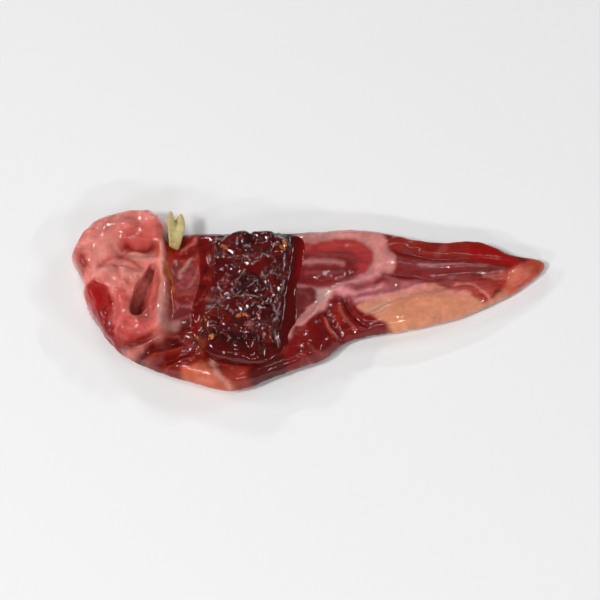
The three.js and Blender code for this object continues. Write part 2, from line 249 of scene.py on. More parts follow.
def smooth_line(places, closed=False, steps=6):
    """A smooth line through a few places in plan."""
    places = np.array(places, float)
    if closed:
        padded = np.vstack([places[-1:], places, places[:2]])
    else:
        padded = np.vstack([2 * places[0] - places[1], places, 2 * places[-1] - places[-2]])
    line = []
    for before, start, end, after in zip(padded[:-3], padded[1:-2], padded[2:-1], padded[3:]):
        bend = 2 * before - 5 * start + 4 * end - after
        twist = 3 * start - before - 3 * end + after
        for t in np.arange(steps) / steps:
            line.append(0.5 * (2 * start + (end - before) * t + bend * t**2 + twist * t**3))
    line.append(padded[-2])
    return np.array(line)


FAR_AWAY = 99.0


def distance_to(plan, line, reach=8.0):
    """How far each place in plan is from a line, in millimetres, up to a reach."""
    distance = np.full(len(plan), FAR_AWAY)
    near = np.all((plan > line.min(0) - reach) & (plan < line.max(0) + reach), axis=1)
    places = plan[near]
    nearest = np.full(len(places), FAR_AWAY)
    for start, end in zip(line[:-1], line[1:]):
        along = end - start
        share = np.clip((places - start) @ along / max(along @ along, 1e-9), 0, 1)
        away = places - start - share[:, None] * along
        nearest = np.minimum(nearest, np.hypot(away[:, 0], away[:, 1]))
    distance[near] = nearest
    return distance


def depth_inside(plan, outline, reach=8.0):
    """How far inside a closed outline each place is, and below 0 how far outside."""
    loop = smooth_line(outline, closed=True)
    depth = distance_to(plan, loop, reach)
    inside = np.zeros(len(plan), bool)
    x, y = plan.T
    for (x0, y0), (x1, y1) in zip(loop[:-1], loop[1:]):
        if y0 != y1:
            inside ^= ((y0 > y) != (y1 > y)) & (x < x0 + (x1 - x0) * (y - y0) / (y1 - y0))
    return np.where(inside, depth, -depth)


def linear(colour):
    """A colour as the shader needs it, from its usual hexadecimal name."""
    parts = [int(colour[i:i + 2], 16) / 255 for i in (1, 3, 5)]
    return np.array([part / 12.92 if part < 0.04045 else ((part + 0.055) / 1.055) ** 2.4 for part in parts])


print("tools ready")

# %% [markdown]
# The slice is one piece of meat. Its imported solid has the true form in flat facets, too coarse to carve,
# so a copy is remeshed into even small faces, as a sculptor does before the fine work. Smoothing then
# takes the facets away.

# %% The slice, ready to carve
MEAT_VOXEL = 0.42
SMOOTHING_STEPS = 6

meat = copy_of_node("veal_slice", "veal_slice_dressed")
apply_modifier(meat, "REMESH", mode="VOXEL", voxel_size=MEAT_VOXEL * MM)
apply_modifier(meat, "SMOOTH", factor=0.5, iterations=SMOOTHING_STEPS)
print("slice triangles:", triangles_of(meat))

# %% [markdown]
# Carving works like a set of brush strokes. Each stroke follows a line on the real slice: the deep crease
# under the flap of the folded end, the gullies between the thin folds at the near edge, the seams and
# strips of muscle that run to the tip. A stroke raises or lowers the points near its line. The same lines
# are used again for the paint, so colour and relief agree: along the creases and gullies the paint is
# darker, as painted shade.

# %% Lines that the slice is carved along
UNDER_FLAP = [(-50, 13), (-47.5, 12.5), (-44.9, 12.3), (-42.5, 12.4), (-40.6, 12.9)]
LEFT_CREASE = [(-55.2, 7), (-53.2, 8.4), (-51.2, 10.2), (-50.4, 12.6), (-51, 15.4)]
RIDGE_LINE = [(-40.3, 20.5), (-39.6, 14), (-38.3, 7.4), (-36.4, -0.2), (-35.8, -5), (-35.9, -10.4),
              (-35.6, -14.6)]
RIDGE_FOOT = [(-38.6, 20), (-37.5, 13), (-36.4, 7), (-34.6, 0), (-33.9, -5), (-33.8, -10)]
FOLD_TOP = [(-48.8, -16.4), (-44.5, -15.9), (-40.3, -15.1), (-33.8, -11.4), (-28.6, -9)]
FOLD_DARK_1 = [(-45.2, -20.6), (-40.9, -19.9), (-37.3, -18), (-33.6, -15.9), (-30, -13.4)]
FOLD_DARK_2 = [(-38.6, -23), (-35.4, -21.6), (-31.8, -19.4), (-28, -17.2), (-25.5, -16.6)]
FOLD_PINK_1 = [(-46.4, -18.2), (-42.6, -18.4), (-38.6, -17.4), (-35.2, -15.2), (-33, -13.2)]
FOLD_PINK_2 = [(-40.6, -21.8), (-36.4, -20.2), (-32.6, -17.6), (-29.4, -15.4)]
FOLD_PINK_3 = [(-34.4, -23.4), (-31.8, -20.9), (-28.6, -19.2), (-26, -18.9)]
EYE_RIM = [(0.4, 16.8), (5.4, 18.5), (9.5, 19.4), (13.7, 19.3), (16.6, 18.2), (18.3, 16.2), (18.6, 13.4),
           (17.6, 10.8), (15.8, 8.6), (13.2, 6.7), (8.4, 4.8), (2.9, 4.3), (-0.8, 4.5)]
SEAM_LOW = [(8.6, 2.9), (7.5, -0.6), (5.3, -4.1), (3, -6.4), (0.2, -8.8), (-1.5, -11)]
RIBBONS = [
    [(11.5, 3), (14.5, 3.2), (17.3, 3.7), (21.7, 5.6)],
    [(10.6, 3.8), (14, 5.8), (16.9, 7.4), (20.3, 9.6)],
    [(15.5, 1.2), (17.4, 1.9), (22.4, 3.4), (27.4, 5.1), (33, 7.4)],
]
CREASE_A = [(11.8, 1.6), (12.4, 0.4), (13.6, -2), (16.4, -4.7), (19, -5.8)]
CREASE_B = [(7.6, -5), (8.4, -6.8), (9.3, -8.4), (10.8, -9.4)]
LOW_CREASE = [(8.2, -3.4), (9.8, -6.4), (11.7, -9.4), (14.5, -11.8), (17.5, -12.4)]
STRIP_GULLIES = [
    [(25, 17.4), (31, 15.9), (40, 15.4), (50, 15), (57, 14.8)],
    [(24.6, 10.2), (28, 9.7), (33, 9.9), (41, 11.4), (50, 12.8), (56, 13.9)],
    [(26, 6.4), (33, 8.8), (41, 9.9), (48, 11.3)],
]
STRIP_CRESTS = [
    [(24, 21), (31.6, 20.6), (39.5, 21), (46, 21.8), (52, 20.2)],
    [(24, 13.4), (32.1, 12.6), (39.8, 13.4), (47.5, 13.9), (54, 14.3)],
]
GRAIN_MEETS_AT = np.array([73.0, 19.0])
FAN_WIDTH = 26
FAN_GROWTH = 0.35
print("ribbons:", len(RIBBONS), "gullies:", len(STRIP_GULLIES), "crests:", len(STRIP_CRESTS))

# %% Carve the slice
WRINKLE_SIZE = 3.6
WRINKLE_HEIGHT = 0.252
SWELL_SIZE = 3.2
SWELL_HEIGHT = 0.16
FIBRE_WIDTH = 0.9
FIBRE_SHORTENING = 0.07
FIBRE_HEIGHT = 0.1
SIDE_LUMP_SIZE = 2.4
SIDE_LUMP_HEIGHT = 0.25
LOBE_EDGE = (-38.0, -33.0)

# path, half width and height in millimetres; a height below 0 cuts in
STROKES = [
    (UNDER_FLAP, 0.8, -1.9), (LEFT_CREASE, 1.0, -0.4), (RIDGE_FOOT, 1.0, -0.9),
    ([(-49.4, 14.4), (-45, 13.9), (-40.8, 14.4)], 1.2, 0.6),
    ([(-58.5, 6.8), (-57.5, 4), (-58.5, 1.6)], 0.8, -0.7),
    ([(-49.4, 8.7), (-46.8, 8.6), (-44.8, 7.4), (-43.4, 5.8)], 1.0, -0.5),
    ([(-50.4, 6.2), (-48.6, 3), (-46, 1.2)], 0.8, -0.6),
    ([(-55.6, 1.6), (-52.6, 1.2), (-49.6, 0.4), (-47, -1)], 0.8, -0.7),
    ([(-49.8, -5), (-48.4, -8.6), (-49, -12)], 0.9, -0.6),
    ([(-44.6, -11.4), (-42, -13), (-39, -12.4)], 0.9, -0.4),
    ([(-56, 12), (-53.4, 15.6), (-49.6, 18.6)], 2.4, 0.6),
    ([(-55.4, 4.6), (-53, 4.2)], 2.2, 0.8), ([(-47.2, 5.2), (-45.2, 3.4)], 1.6, 0.85),
    ([(-47.6, -3), (-46.4, -5.6)], 1.3, 0.7), ([(-45.6, -12.4), (-42, -12.6), (-38.8, -12)], 2.0, 0.7),
    ([(-58.2, 12.4), (-58.6, 9.8)], 1.4, 0.4),
    ([(-40.4, 6), (-39.4, 2.4), (-39.2, -3), (-40, -8)], 1.3, -1.3),
    (FOLD_TOP, 0.8, -0.8), (FOLD_DARK_1, 0.8, -0.9), (FOLD_DARK_2, 0.8, -0.7),
    (FOLD_PINK_1, 0.6, 0.45), (FOLD_PINK_2, 0.55, 0.5), (FOLD_PINK_3, 0.55, 0.4),
    (SEAM_LOW, 1.2, 0.3), (CREASE_A, 0.6, -0.8), (CREASE_B, 0.55, 0.7), (LOW_CREASE, 0.8, -0.8),
    ([(11.3, -1), (12.6, -4), (15.4, -6.9)], 0.5, 0.4),
    ([(3.8, -13), (6.2, -15.4), (8.8, -14.6)], 0.8, 0.45),
    ([(2.4, -16.2), (5.4, -17.8), (8, -17)], 0.7, 0.4),
    *[(ribbon, 0.9, 0.35) for ribbon in RIBBONS],
    *[(gully, 0.75, -0.5) for gully in STRIP_GULLIES],
    *[(crest, 0.7, 0.5) for crest in STRIP_CRESTS],
]


def stroke(plan, places, half_width, height):
    """One brush stroke: full height on its line, nothing beyond two and a half half widths."""
    away = distance_to(plan, smooth_line(places), reach=3 * half_width) / half_width
    return height * np.exp(-(away**2))


def grain_places(plan):
    """Places measured across and along the muscle fibres, which gather towards the tip."""
    to_tip = GRAIN_MEETS_AT - plan
    distance = np.hypot(*to_tip.T)
    angle = np.arctan2(to_tip[:, 1], to_tip[:, 0])
    spread = FAN_WIDTH + FAN_GROWTH * distance
    return np.column_stack([angle * spread, distance])


def warped(plan, size, reach, seed):
    """Places pushed about by noise, so that no outline stays a clean curve."""
    return plan + reach * np.column_stack([cloud(plan, size, seed), cloud(plan, size, seed + 50)])


meat_points = points_of(meat)
meat_plan = meat_points[:, :2]
facing_up = smoothstep(0.1, 0.6, normals_of(meat)[:, 2])
ragged_plan = warped(meat_plan, 2.6, 0.35, 3)
relief = sum(stroke(ragged_plan, *settings) for settings in STROKES)

in_lobe = 1 - smoothstep(*LOBE_EDGE, meat_plan[:, 0] + 0.12 * meat_plan[:, 1])
wrinkles = 1 - 2 * np.abs(cloud(warped(meat_plan, 5, 1.2, 7), WRINKLE_SIZE, 8, 2))
relief += in_lobe * WRINKLE_HEIGHT * wrinkles
relief += (1 - in_lobe) * SWELL_HEIGHT * cloud(meat_plan, SWELL_SIZE, 21, 2)
grain = grain_places(meat_plan)
fibres = cloud(grain * (1, FIBRE_SHORTENING), FIBRE_WIDTH, 31, 2)
relief += (1 - in_lobe) * FIBRE_HEIGHT * fibres

carved = meat_points.copy()
carved[:, 2] += relief * facing_up
sides = normals_of(meat)
side_share = (1 - np.abs(sides[:, 2])) * smoothstep(0.3, 1.5, meat_points[:, 2])
side_lumps = SIDE_LUMP_HEIGHT * cloud(meat_points, SIDE_LUMP_SIZE, 41, 2)
carved += sides * (side_lumps * side_share)[:, None]
carved[:, 2] = np.maximum(carved[:, 2], 0)
move_points(meat, carved)
print("relief, mm:", round(relief.min(), 2), "to", round(relief.max(), 2))

# %% [markdown]
# Now the paint. A colour is stored at every point of the mesh, as vertex paint, and laid on in layers from
# the broad to the fine: a ground colour for the muscle, then each area in its own colour with a soft,
# slightly ragged edge, then thin lines. The colours go straight down through the slice, as they do in
# real meat, so its edge and its underside match its top.

# %% A paint layer
LIGHT_GAIN = 1.06
VEIL = 0.009
DARKEST = 0.0015


def pigment(colour):
    """The pigment that shows as a colour once the light and a faint veil of gloss are added to it."""
    return np.maximum((linear(colour) - VEIL) / LIGHT_GAIN, DARKEST)


class Paint:
    """Vertex paint over places in plan."""

    def __init__(self, plan, ground):
        self.plan = plan
        self.colour = np.tile(pigment(ground), (len(plan), 1))

    def lay(self, colour, share):
        self.colour += (pigment(colour) - self.colour) * np.clip(share, 0, 1)[:, None]

    def area(self, colour, outline, softness=0.7, strength=1.0):
        self.lay(colour, strength * smoothstep(-softness, softness, depth_inside(self.plan, outline)))

    def line(self, colour, places, half_width, strength=1.0):
        away = distance_to(self.plan, smooth_line(places), reach=4 * half_width)
        self.lay(colour, strength * np.exp(-((away / half_width) ** 2)))


meat_paint = Paint(warped(warped(meat_plan, 2.2, 0.45, 11), 0.8, 0.2, 13), "#7E2620")
mottle = cloud(meat_plan, 2.6, 61, 3)
fine_mottle = cloud(meat_plan, 0.9, 71, 2)
print("paint points:", len(meat_plan))


# %% The folded end: pale pink tissue, with its flap, its blood-red patch and its open slit
def paint_folded_end(paint):
    paint.lay("#D4786E", in_lobe)
    paint.lay("#E2958A", in_lobe * smoothstep(0.1, 1.0, mottle) * 0.6)
    paint.lay("#BE625A", in_lobe * smoothstep(0.1, 1.0, -mottle) * 0.5)
    paint.area("#D88A7E", [(-58, 9), (-56, 14), (-52, 15), (-49.6, 9), (-47, 3), (-51, 1), (-57, 2.4)],
               1.5, 0.6)
    paint.area("#A63C36", [(-61.5, 9.6), (-59.6, 9.2), (-58.8, 6.4), (-60, 4.2), (-61.8, 5)], 1.0, 0.85)
    paint.area("#862420", [(-60.9, 8.8), (-59.9, 8.4), (-59.6, 6), (-60.9, 6)], 0.6, 0.7)
    paint.area("#CC5E56", [(-50.4, 13.4), (-49.6, 16.7), (-46.6, 20), (-43.4, 20.8), (-40.6, 19.2),
                           (-39.7, 13.4), (-41, 12.9), (-44.9, 12.5), (-48.5, 12.8)], 1.5, 0.95)
    paint.area("#B94D46", [(-49.6, 13.2), (-48, 15.2), (-44, 15.6), (-40.6, 15), (-40.4, 12.8),
                           (-45, 12.4)], 1.3, 0.6)
    paint.area("#DC7870", [(-53, 14.6), (-51, 19), (-46, 23.4), (-42, 24.4), (-43.6, 21.6),
                           (-48.6, 18.4)], 1.4, 0.8)
    paint.area("#D38E80", [(-49.4, 11.4), (-45.2, 11.5), (-41.3, 11.8), (-40.7, 9.8), (-42, 8.2),
                           (-44.6, 8.9), (-47.6, 9.3)], 0.8, 0.9)
    # painted shadow: a darker line under the lower edge of the pale shelf, along its carved groove
    paint.line("#A84A42", [(-49.2, 8.5), (-46.8, 8.5), (-44.8, 7.3), (-43.2, 5.8)], 0.6, 0.75)
    paint.area("#CC8074", [(-46.6, 6.6), (-44.4, 6), (-42, 4.2), (-42.6, 1.6), (-45, 1.6), (-47, 4)],
               0.9, 0.7)
    # painted shade: a darker line along the carved groove between the pale lumps
    paint.line("#BC5850", [(-50.4, 6), (-48.6, 3), (-46, 1.2), (-44, 0.6)], 0.7, 0.6)
    paint.area("#B42C28", [(-58.6, 0.9), (-56.4, 2.6), (-53.2, 1.2), (-50.9, -2.5), (-49.9, -6.3),
                           (-49.4, -10.2), (-46, -13.7), (-43.4, -17.2), (-45, -19.6), (-50, -18),
                           (-54, -13.5), (-58, -7.8), (-59.4, -3.6)], 1.0)
    paint.area("#A21A14", [(-57.6, -0.4), (-55.6, 0.8), (-53.8, -1), (-52.8, -5), (-54.6, -7),
                           (-57.2, -4)], 1.0, 0.8)
    paint.area("#80140E", [(-56.6, -8), (-51.6, -7), (-48.6, -12), (-44.6, -17), (-47, -19.4), (-53.4, -14)],
               1.2, 0.8)
    paint.line("#D25A50", [(-51.6, -0.6), (-50.6, -3.6), (-50.2, -6.4)], 0.5, 0.5)
    paint.area("#C44A46", [(-49.9, 0), (-48, -0.4), (-46, -2.6), (-45.4, -4.8), (-47.4, -5.2),
                           (-49.6, -2.8)], 0.9, 0.8)
    paint.area("#C85650", [(-49.4, -5.4), (-46.4, -5.4), (-45, -8.6), (-42, -10), (-38, -9), (-36, -12),
                           (-39, -15), (-44, -15.8), (-47.6, -12)], 1.2, 0.85)
    paint.line("#AC3E3A", [(-43.8, -9.6), (-41.8, -9.6), (-40, -8)], 0.9, 0.75)
    paint.line("#BA4440", [(-47.4, -13), (-44, -14.8), (-39.6, -14.8)], 1.0, 0.75)
    # painted shadow under the flap, and painted shade along the left crease: both carved creases are painted
    # darker
    paint.line("#861F1C", UNDER_FLAP, 0.6, 0.95)
    paint.line("#B2524C", LEFT_CREASE, 0.6, 0.7)


def paint_slit(paint):
    paint.area("#BE5C54", [(-40.2, 6.9), (-38.7, 5.4), (-37.5, 1.5), (-37.2, -3.6), (-38.2, -7.6),
                           (-40.6, -9.8), (-43.6, -9.6), (-44.8, -6.1), (-44.2, -3.4), (-42.6, -1.1),
                           (-41.2, 2.6)], 0.8, 0.95)
    paint.area("#CC6458", [(-40.6, 5.6), (-39.7, 2.4), (-39.7, -1.6), (-40.2, -5.4), (-41.6, -9),
                           (-44, -8.8), (-44.8, -6.1), (-44.2, -3.4), (-42.6, -1.1), (-41.3, 2.6)], 0.9)
    # painted shade: the deep left and lower part of the slit is painted darker
    paint.area("#9C4236", [(-42.2, -1.4), (-41.6, -3.4), (-41.8, -7), (-43, -9), (-44.6, -7.6),
                           (-44.4, -4.4)], 0.8, 0.85)


def paint_ridge(paint):
    paint.line("#CC7266", RIDGE_LINE, 1.6, 0.95)
    paint.line("#C0483E", [(-40.6, 19), (-40.2, 14), (-39, 8.6)], 0.9, 0.6)
    # painted highlight: a pale line along the top of the ridge
    paint.line("#DE9488", [(-39.3, 13.6), (-38.2, 8), (-37, 2.6), (-36.2, -2)], 0.55, 0.8)
    paint.area("#D0928A", [(-37.6, 0), (-35.6, -0.6), (-35, -5), (-35.2, -8.6), (-37.2, -7), (-38, -3)],
               0.8, 0.7)
    paint.area("#C88E86", [(-36.4, -7.4), (-34, -8.8), (-31.2, -8), (-31.4, -9.4), (-33.6, -11),
                           (-36.2, -11.4)], 0.7, 0.8)
    # painted shade: a darker line along the carved foot of the ridge
    paint.line("#8C2A1A", RIDGE_FOOT[1:5], 0.75, 0.85)
    for top, foot in (((-37.1, 8), (-36.5, 6.6)), ((-36.3, 5.4), (-35.8, 4)), ((-34.9, 1.6), (-34.5, 0.4))):
        paint.line("#B86A2E", [top, foot], 0.5, 0.8)
    # painted shade: the upper part of the ridge's foot is also painted darker
    paint.line("#94281A", [(-38, 14.6), (-37.6, 11.4), (-37.2, 9)], 0.6, 0.9)


# %% Between the ridge and the sauce, and the thin folds of the near edge
def paint_beside_ridge(paint):
    beside = [(-37.4, 20), (-37, 10), (-34.6, 0), (-34.2, -8), (-34, -13), (-28, -17), (-22, -17), (-22, 20)]
    paint.area("#84302A", beside, 0.8)
    paint.area("#5A2218", [(-38.6, 14), (-38.4, 16), (-37, 20), (-31, 20.6), (-33.6, 17.6),
                           (-36.6, 14.6)], 0.7, 0.9)
    paint.area("#A4231C", [(-37.6, 13), (-35.2, 13.8), (-34.4, 10), (-36.4, 8.2)], 0.6)
    paint.area("#781A12", [(-35, 15), (-32.6, 18.4), (-29, 18.6), (-29, 14.5), (-31.2, 10.6),
                           (-33.8, 11)], 0.8, 0.9)
    paint.line("#BE655C", [(-34.2, 12.4), (-32.6, 14.6), (-30.4, 16.8)], 0.45, 0.6)
    paint.area("#8E4140", [(-34.4, 7.2), (-31, 9), (-28.1, 8), (-27.1, 3.9), (-28.8, -0.7), (-32.6, -1.8),
                           (-34.2, 3)], 0.7, 0.9)
    # painted sheen: a pale pink line where the wet fold catches the light
    paint.line("#C28A80", [(-30.9, 10.6), (-32.5, 7.8), (-33.4, 5)], 0.5, 0.8)
    paint.line("#AE6862", [(-30.4, 2.2), (-28.8, 5.4), (-28.2, 8.6)], 0.45, 0.6)
    paint.line("#A85A58", [(-33.6, 2.4), (-31.4, 1), (-29.6, -0.4)], 0.4, 0.5)
    paint.area("#722C30", [(-34.9, -2.4), (-30.2, -1.9), (-28, -5.2), (-31, -7.6), (-34.9, -7.3)], 0.6, 0.9)
    paint.line("#90281F", [(-33.3, -2), (-30, -1.2), (-26.7, -0.6)], 0.5, 0.8)
    paint.line("#B06A66", [(-34, -2.6), (-31.6, -4.2), (-28.6, -3.4)], 0.4, 0.6)
    paint.area("#6A2A2C", [(-33, -9.8), (-29, -7.4), (-26.9, -10), (-29, -14.2), (-33.4, -15.4),
                           (-34, -12.9)], 0.7, 0.9)
    paint.line("#B87670", [(-28.6, -6.4), (-27.4, -9.4), (-27.8, -12.4)], 0.35, 0.6)
    mixed = smoothstep(-0.8, 0.8, depth_inside(paint.plan, beside))
    paint.lay("#B4605A", mixed * smoothstep(0.5, 1.2, fine_mottle + 0.5 * mottle) * 0.45)
    paint.lay("#5E1E1C", mixed * smoothstep(0.5, 1.2, -fine_mottle - 0.5 * mottle) * 0.45)


def paint_folds(paint):
    folds = [(-49.4, -17.4), (-44, -16.6), (-40.3, -15.8), (-33.8, -12.6), (-28.6, -10.2), (-22, -15),
             (-18, -22), (-26, -28), (-40, -26), (-50, -20)]
    paint.area("#741E14", folds, 0.8)
    paint.line("#AA483C", FOLD_PINK_1, 0.65, 0.9)
    paint.line("#96301F", FOLD_PINK_2, 0.45, 0.8)
    paint.line("#98341F", FOLD_PINK_3, 0.45, 0.8)
    paint.line("#CC7464", [(-46, -18.4), (-42.6, -18.6), (-39.6, -18)], 0.5, 0.8)
    # painted shade: the carved gullies between the thin folds are painted dark
    paint.line("#66140E", FOLD_DARK_1, 0.9, 0.95)
    paint.line("#701A12", FOLD_DARK_2, 0.8, 0.9)
    paint.line("#8A231C", FOLD_TOP, 0.7, 0.9)
    paint.line("#A0463A", [(-31.6, -12.8), (-29, -14.4), (-26.4, -15.4)], 0.45, 0.7)
    paint.line("#96402E", [(-27.6, -12.6), (-25.6, -15), (-24.4, -17.4)], 0.7, 0.6)
    paint.area("#BA563C", [(-29.6, -24.6), (-27, -21.2), (-23.6, -19.8), (-21.4, -21.4), (-18.4, -24.2),
                           (-13, -24.9), (-11, -26.4), (-17.4, -28), (-27, -27.6)], 0.9)
    paint.area("#C66E54", [(-26, -22.4), (-23.4, -20.8), (-21.8, -22), (-20, -24.4), (-24, -25.2)], 0.9, 0.7)
    paint.line("#CE8E7E", [(-21.2, -19.8), (-19.9, -22.2), (-17.6, -24.6), (-15.5, -26)], 0.8, 0.8)


# %% Below and beside the sauce
def paint_near_sauce(paint):
    paint.area("#8A2C22", [(-21, -17), (-11.5, -16), (-4, -14), (0, -16), (0.6, -21), (-6, -25), (-12, -27),
                           (-15.3, -24.6), (-19.6, -20)], 0.9)
    paint.area("#9C3A30", [(-18.6, -20.6), (-14.6, -20.2), (-11.4, -21.6), (-13.4, -23.8),
                           (-16.6, -23.4)], 0.9, 0.6)
    paint.area("#4C100A", [(-10.6, -20.6), (-6.7, -18), (-2, -16.4), (0, -19), (-4, -23.2),
                           (-9.6, -24.6)], 1.2, 0.9)
    paint.area("#4E1410", [(-27.6, 20), (-26, 2), (-27.4, -12), (-22, -18), (-8, -18.5), (-1, -10),
                           (-1, 18)], 1.5, 0.9)


# %% The eye of the cut: a lean round muscle inside its pale seam
EYE = EYE_RIM + [(-3, 4.6), (-3.4, 17.8)]


def paint_eye(paint):
    pale_seam = [(-3, 24), (5.2, 25), (14, 26), (18.3, 25.6), (24.4, 24.6), (23.6, 21.6), (22.2, 19.2),
                 (22.8, 17.8), (24.6, 15.5), (25.2, 12.5), (23.9, 10.7), (20.5, 9.8), (17.5, 8), (14, 5.8),
                 (11, 3.6), (8.6, 2.9), (7.5, -0.6), (5.3, -4.1), (3, -6.4), (0.2, -8.8), (-3, -10)]
    paint.area("#B87874", pale_seam, 0.7)
    paint.area("#CE847E", [(2, 22), (9, 26), (18.3, 26), (23.9, 24.6), (23, 21.4), (21.6, 18.8), (24.2, 15.5),
                           (24.8, 12.5), (23.6, 10.9), (20.7, 10), (19, 11.7), (19.4, 15.2), (17.6, 18.8),
                           (13.4, 20.2), (7, 20)], 0.8, 0.9)
    paint.area("#B8908A", [(4.2, 3.5), (8.5, 4), (7.9, 0), (6.1, -1.8), (4.4, -0.1)], 0.6, 0.95)
    paint.line("#C48C84", [(0.7, 20), (5.2, 21.4), (9.3, 22.2)], 0.9, 0.8)
    paint.area("#8A3836", EYE, 0.6)
    paint.area("#A93A38", [(-1, 17.2), (5.5, 18.3), (9.7, 19.1), (13.9, 18.9), (16.8, 17.4), (18.1, 14.8),
                           (17.8, 11.6), (15.8, 9), (14.8, 11), (15, 14), (12, 15.4), (5, 15),
                           (-1, 14.4)], 1.1, 0.9)
    paint.area("#B03A40", [(14.6, 16.2), (17, 14.6), (17, 11.2), (15.4, 9.6), (14.6, 12.4)], 0.8, 0.7)
    paint.area("#6E2022", [(-1, 13), (6, 13.4), (12, 12.8), (14.4, 10.2), (12.2, 7.6), (6, 5.4),
                           (-2, 5.2)], 1.0, 0.85)
    paint.line("#C67E7C", [(-0.4, 10.8), (4.1, 11.8), (10.4, 11.4)], 0.9, 0.7)
    paint.line("#924A4C", [(1, 8.2), (6, 8.6), (11, 9)], 0.6, 0.5)
    paint.area("#6E2C2C", [(-3, 3), (0.4, 3.6), (2.9, 4.1), (4.3, 2.7), (4.3, 0), (2.6, -2.8), (1.1, -5.4),
                           (-1.3, -6.6), (-4, -6)], 0.6)
    paint.line("#8A4240", [(0, 2.4), (2.2, 1), (2.4, -1.6)], 0.6, 0.5)
    paint.line("#D28886", SEAM_LOW, 1.0, 0.8)


# %% The low lean corner, wet and deep red
def paint_low_corner(paint):
    low = [(10.6, 1.8), (13.5, 0.6), (16, -0.6), (17.7, -2.4), (21, -3.6), (24, -5), (28.2, -7.2),
           (26, -10), (16.4, -13.5), (11, -17), (9.1, -20), (4.3, -22), (-1, -22), (-1, -10), (2, -8),
           (4.6, -5.6), (8, -1)]
    paint.area("#761A12", low, 0.7)
    paint.area("#66120D", [(1, -17), (6, -17.6), (9, -13), (8, -9), (3, -10)], 1.4, 0.6)
    paint.area("#8E261F", [(9.4, -1), (12, 0.4), (13, -4), (10.4, -7.4), (7.2, -5.4)], 1.0, 0.7)
    paint.area("#6C1F15", [(17, -6), (22, -6.4), (26, -8.4), (20, -10.4), (16, -9.4)], 1.0, 0.55)
    # painted shade: the two carved creases of the low corner are painted dark
    paint.line("#58120F", CREASE_A, 0.5, 0.85)
    paint.line("#5E140F", LOW_CREASE, 0.7, 0.85)
    # a raised sliver of paler tissue, painted lighter as its highlight
    paint.line("#C06A60", CREASE_B, 0.45, 0.85)
    paint.line("#A84C42", [(11.3, -1), (12.6, -4), (15.4, -6.9)], 0.4, 0.8)
    paint.line("#9E4438", [(3.8, -13), (6.2, -15.4), (8.8, -14.6)], 0.5, 0.6)
    paint.line("#9C4438", [(2.4, -16.2), (5.4, -17.8), (8, -17)], 0.4, 0.5)
    paint.line("#8C2E24", [(0.6, -12), (2.4, -15), (2, -19)], 0.5, 0.6)


# %% The strips of muscle that run to the tip, and the pink ribbons where they leave the seam
def paint_strips(paint):
    strips = [(21, 24), (31, 23.4), (42, 25), (50, 24), (57, 19.4), (58, 14), (54, 8.4), (44, 7.4), (35, 8.2),
              (26, 6.4), (21.5, 7), (24.4, 11), (25.4, 15.4), (22.8, 18.2)]
    paint.area("#862A28", strips, 0.7)
    paint.area("#84251F", [(23.6, 22.4), (31.6, 22), (42, 24), (50, 22), (48, 16.6), (38, 16.4), (28, 17.4),
                           (23.4, 18.4)], 0.9, 0.9)
    # a pinkish edge along the far crest, with its highlight painted in
    paint.line("#A04A46", [(26, 21.4), (32, 20.9), (38, 21.4), (44, 22.4)], 0.6, 0.5)
    paint.line("#9C5350", [(35.4, 17), (36.4, 18.2), (37.8, 19.2)], 0.7, 0.5)
    paint.area("#94120C", [(45, 20.4), (50, 20.6), (56.6, 17.8), (57.4, 14.6), (50, 14.8), (45, 15.8)],
               1.2, 0.9)
    paint.area("#7E363A", [(26, 12.6), (32, 11.4), (40, 12.2), (48, 13.2), (47, 14.8), (38, 14.6),
                           (30, 14.6)], 0.9, 0.85)
    # painted highlight: a long pale streak along strip 2, ending in a pale spot
    paint.line("#B67A7A", [(31, 12.6), (36, 13), (41, 13.9), (45, 14.4)], 0.5, 0.8)
    paint.line("#C4746C", [(46.6, 14.6), (49.6, 14.6)], 0.6, 0.7)
    # painted shade: darker lines in the carved gullies between the strips
    paint.line("#6E221F", STRIP_GULLIES[0], 0.6, 0.6)
    paint.line("#6A2424", STRIP_GULLIES[1], 0.6, 0.65)
    paint.area("#8E4648", [(22, 8.4), (29.7, 8.7), (37.3, 9.8), (45, 11), (44, 9.6), (34, 8), (26, 6.8)],
               0.6, 0.8)
    paint.line("#AC6466", [(22.6, 9), (27, 7.8), (32, 8.8)], 0.6, 0.5)
    paint.line("#C46E62", [(49, 12.2), (52.5, 11), (55, 10.6)], 0.6, 0.7)
    for ribbon in RIBBONS:
        paint.line("#DC8E92", ribbon, 1.1, 0.9)
    paint.line("#98504F", [(12.2, 4.6), (15.4, 5.3), (18.6, 6.8)], 0.6, 0.8)
    paint.line("#8E4446", [(15.8, 2.6), (19, 3.9), (23, 5)], 0.6, 0.8)
    paint.area("#A65F60", [(21, 5), (24, 7.4), (30, 7.6), (27, 5.6), (22.6, 4)], 0.9, 0.6)


# %% The strip of fat along the near edge
FAT = [(15.8, -0.9), (18.4, 1.2), (22.4, 3), (28.9, 5.3), (34.9, 7.7), (38.6, 7.7), (38.8, 6), (44.3, 5.7),
       (46.4, 4.6), (50, 4.4), (54, 6.4), (57, 7), (60, 6), (55, -2), (43.1, -6), (31.7, -9), (29.3, -7.8),
       (26.1, -6.2), (24, -4.6), (20.8, -3.6)]
TIP = [(52.2, 12.1), (57.8, 15.3), (61, 17.6), (66, 17.6), (64.5, 12), (57.5, 5.4), (54.5, 5.4), (53.4, 8.6),
       (54.9, 10.4)]


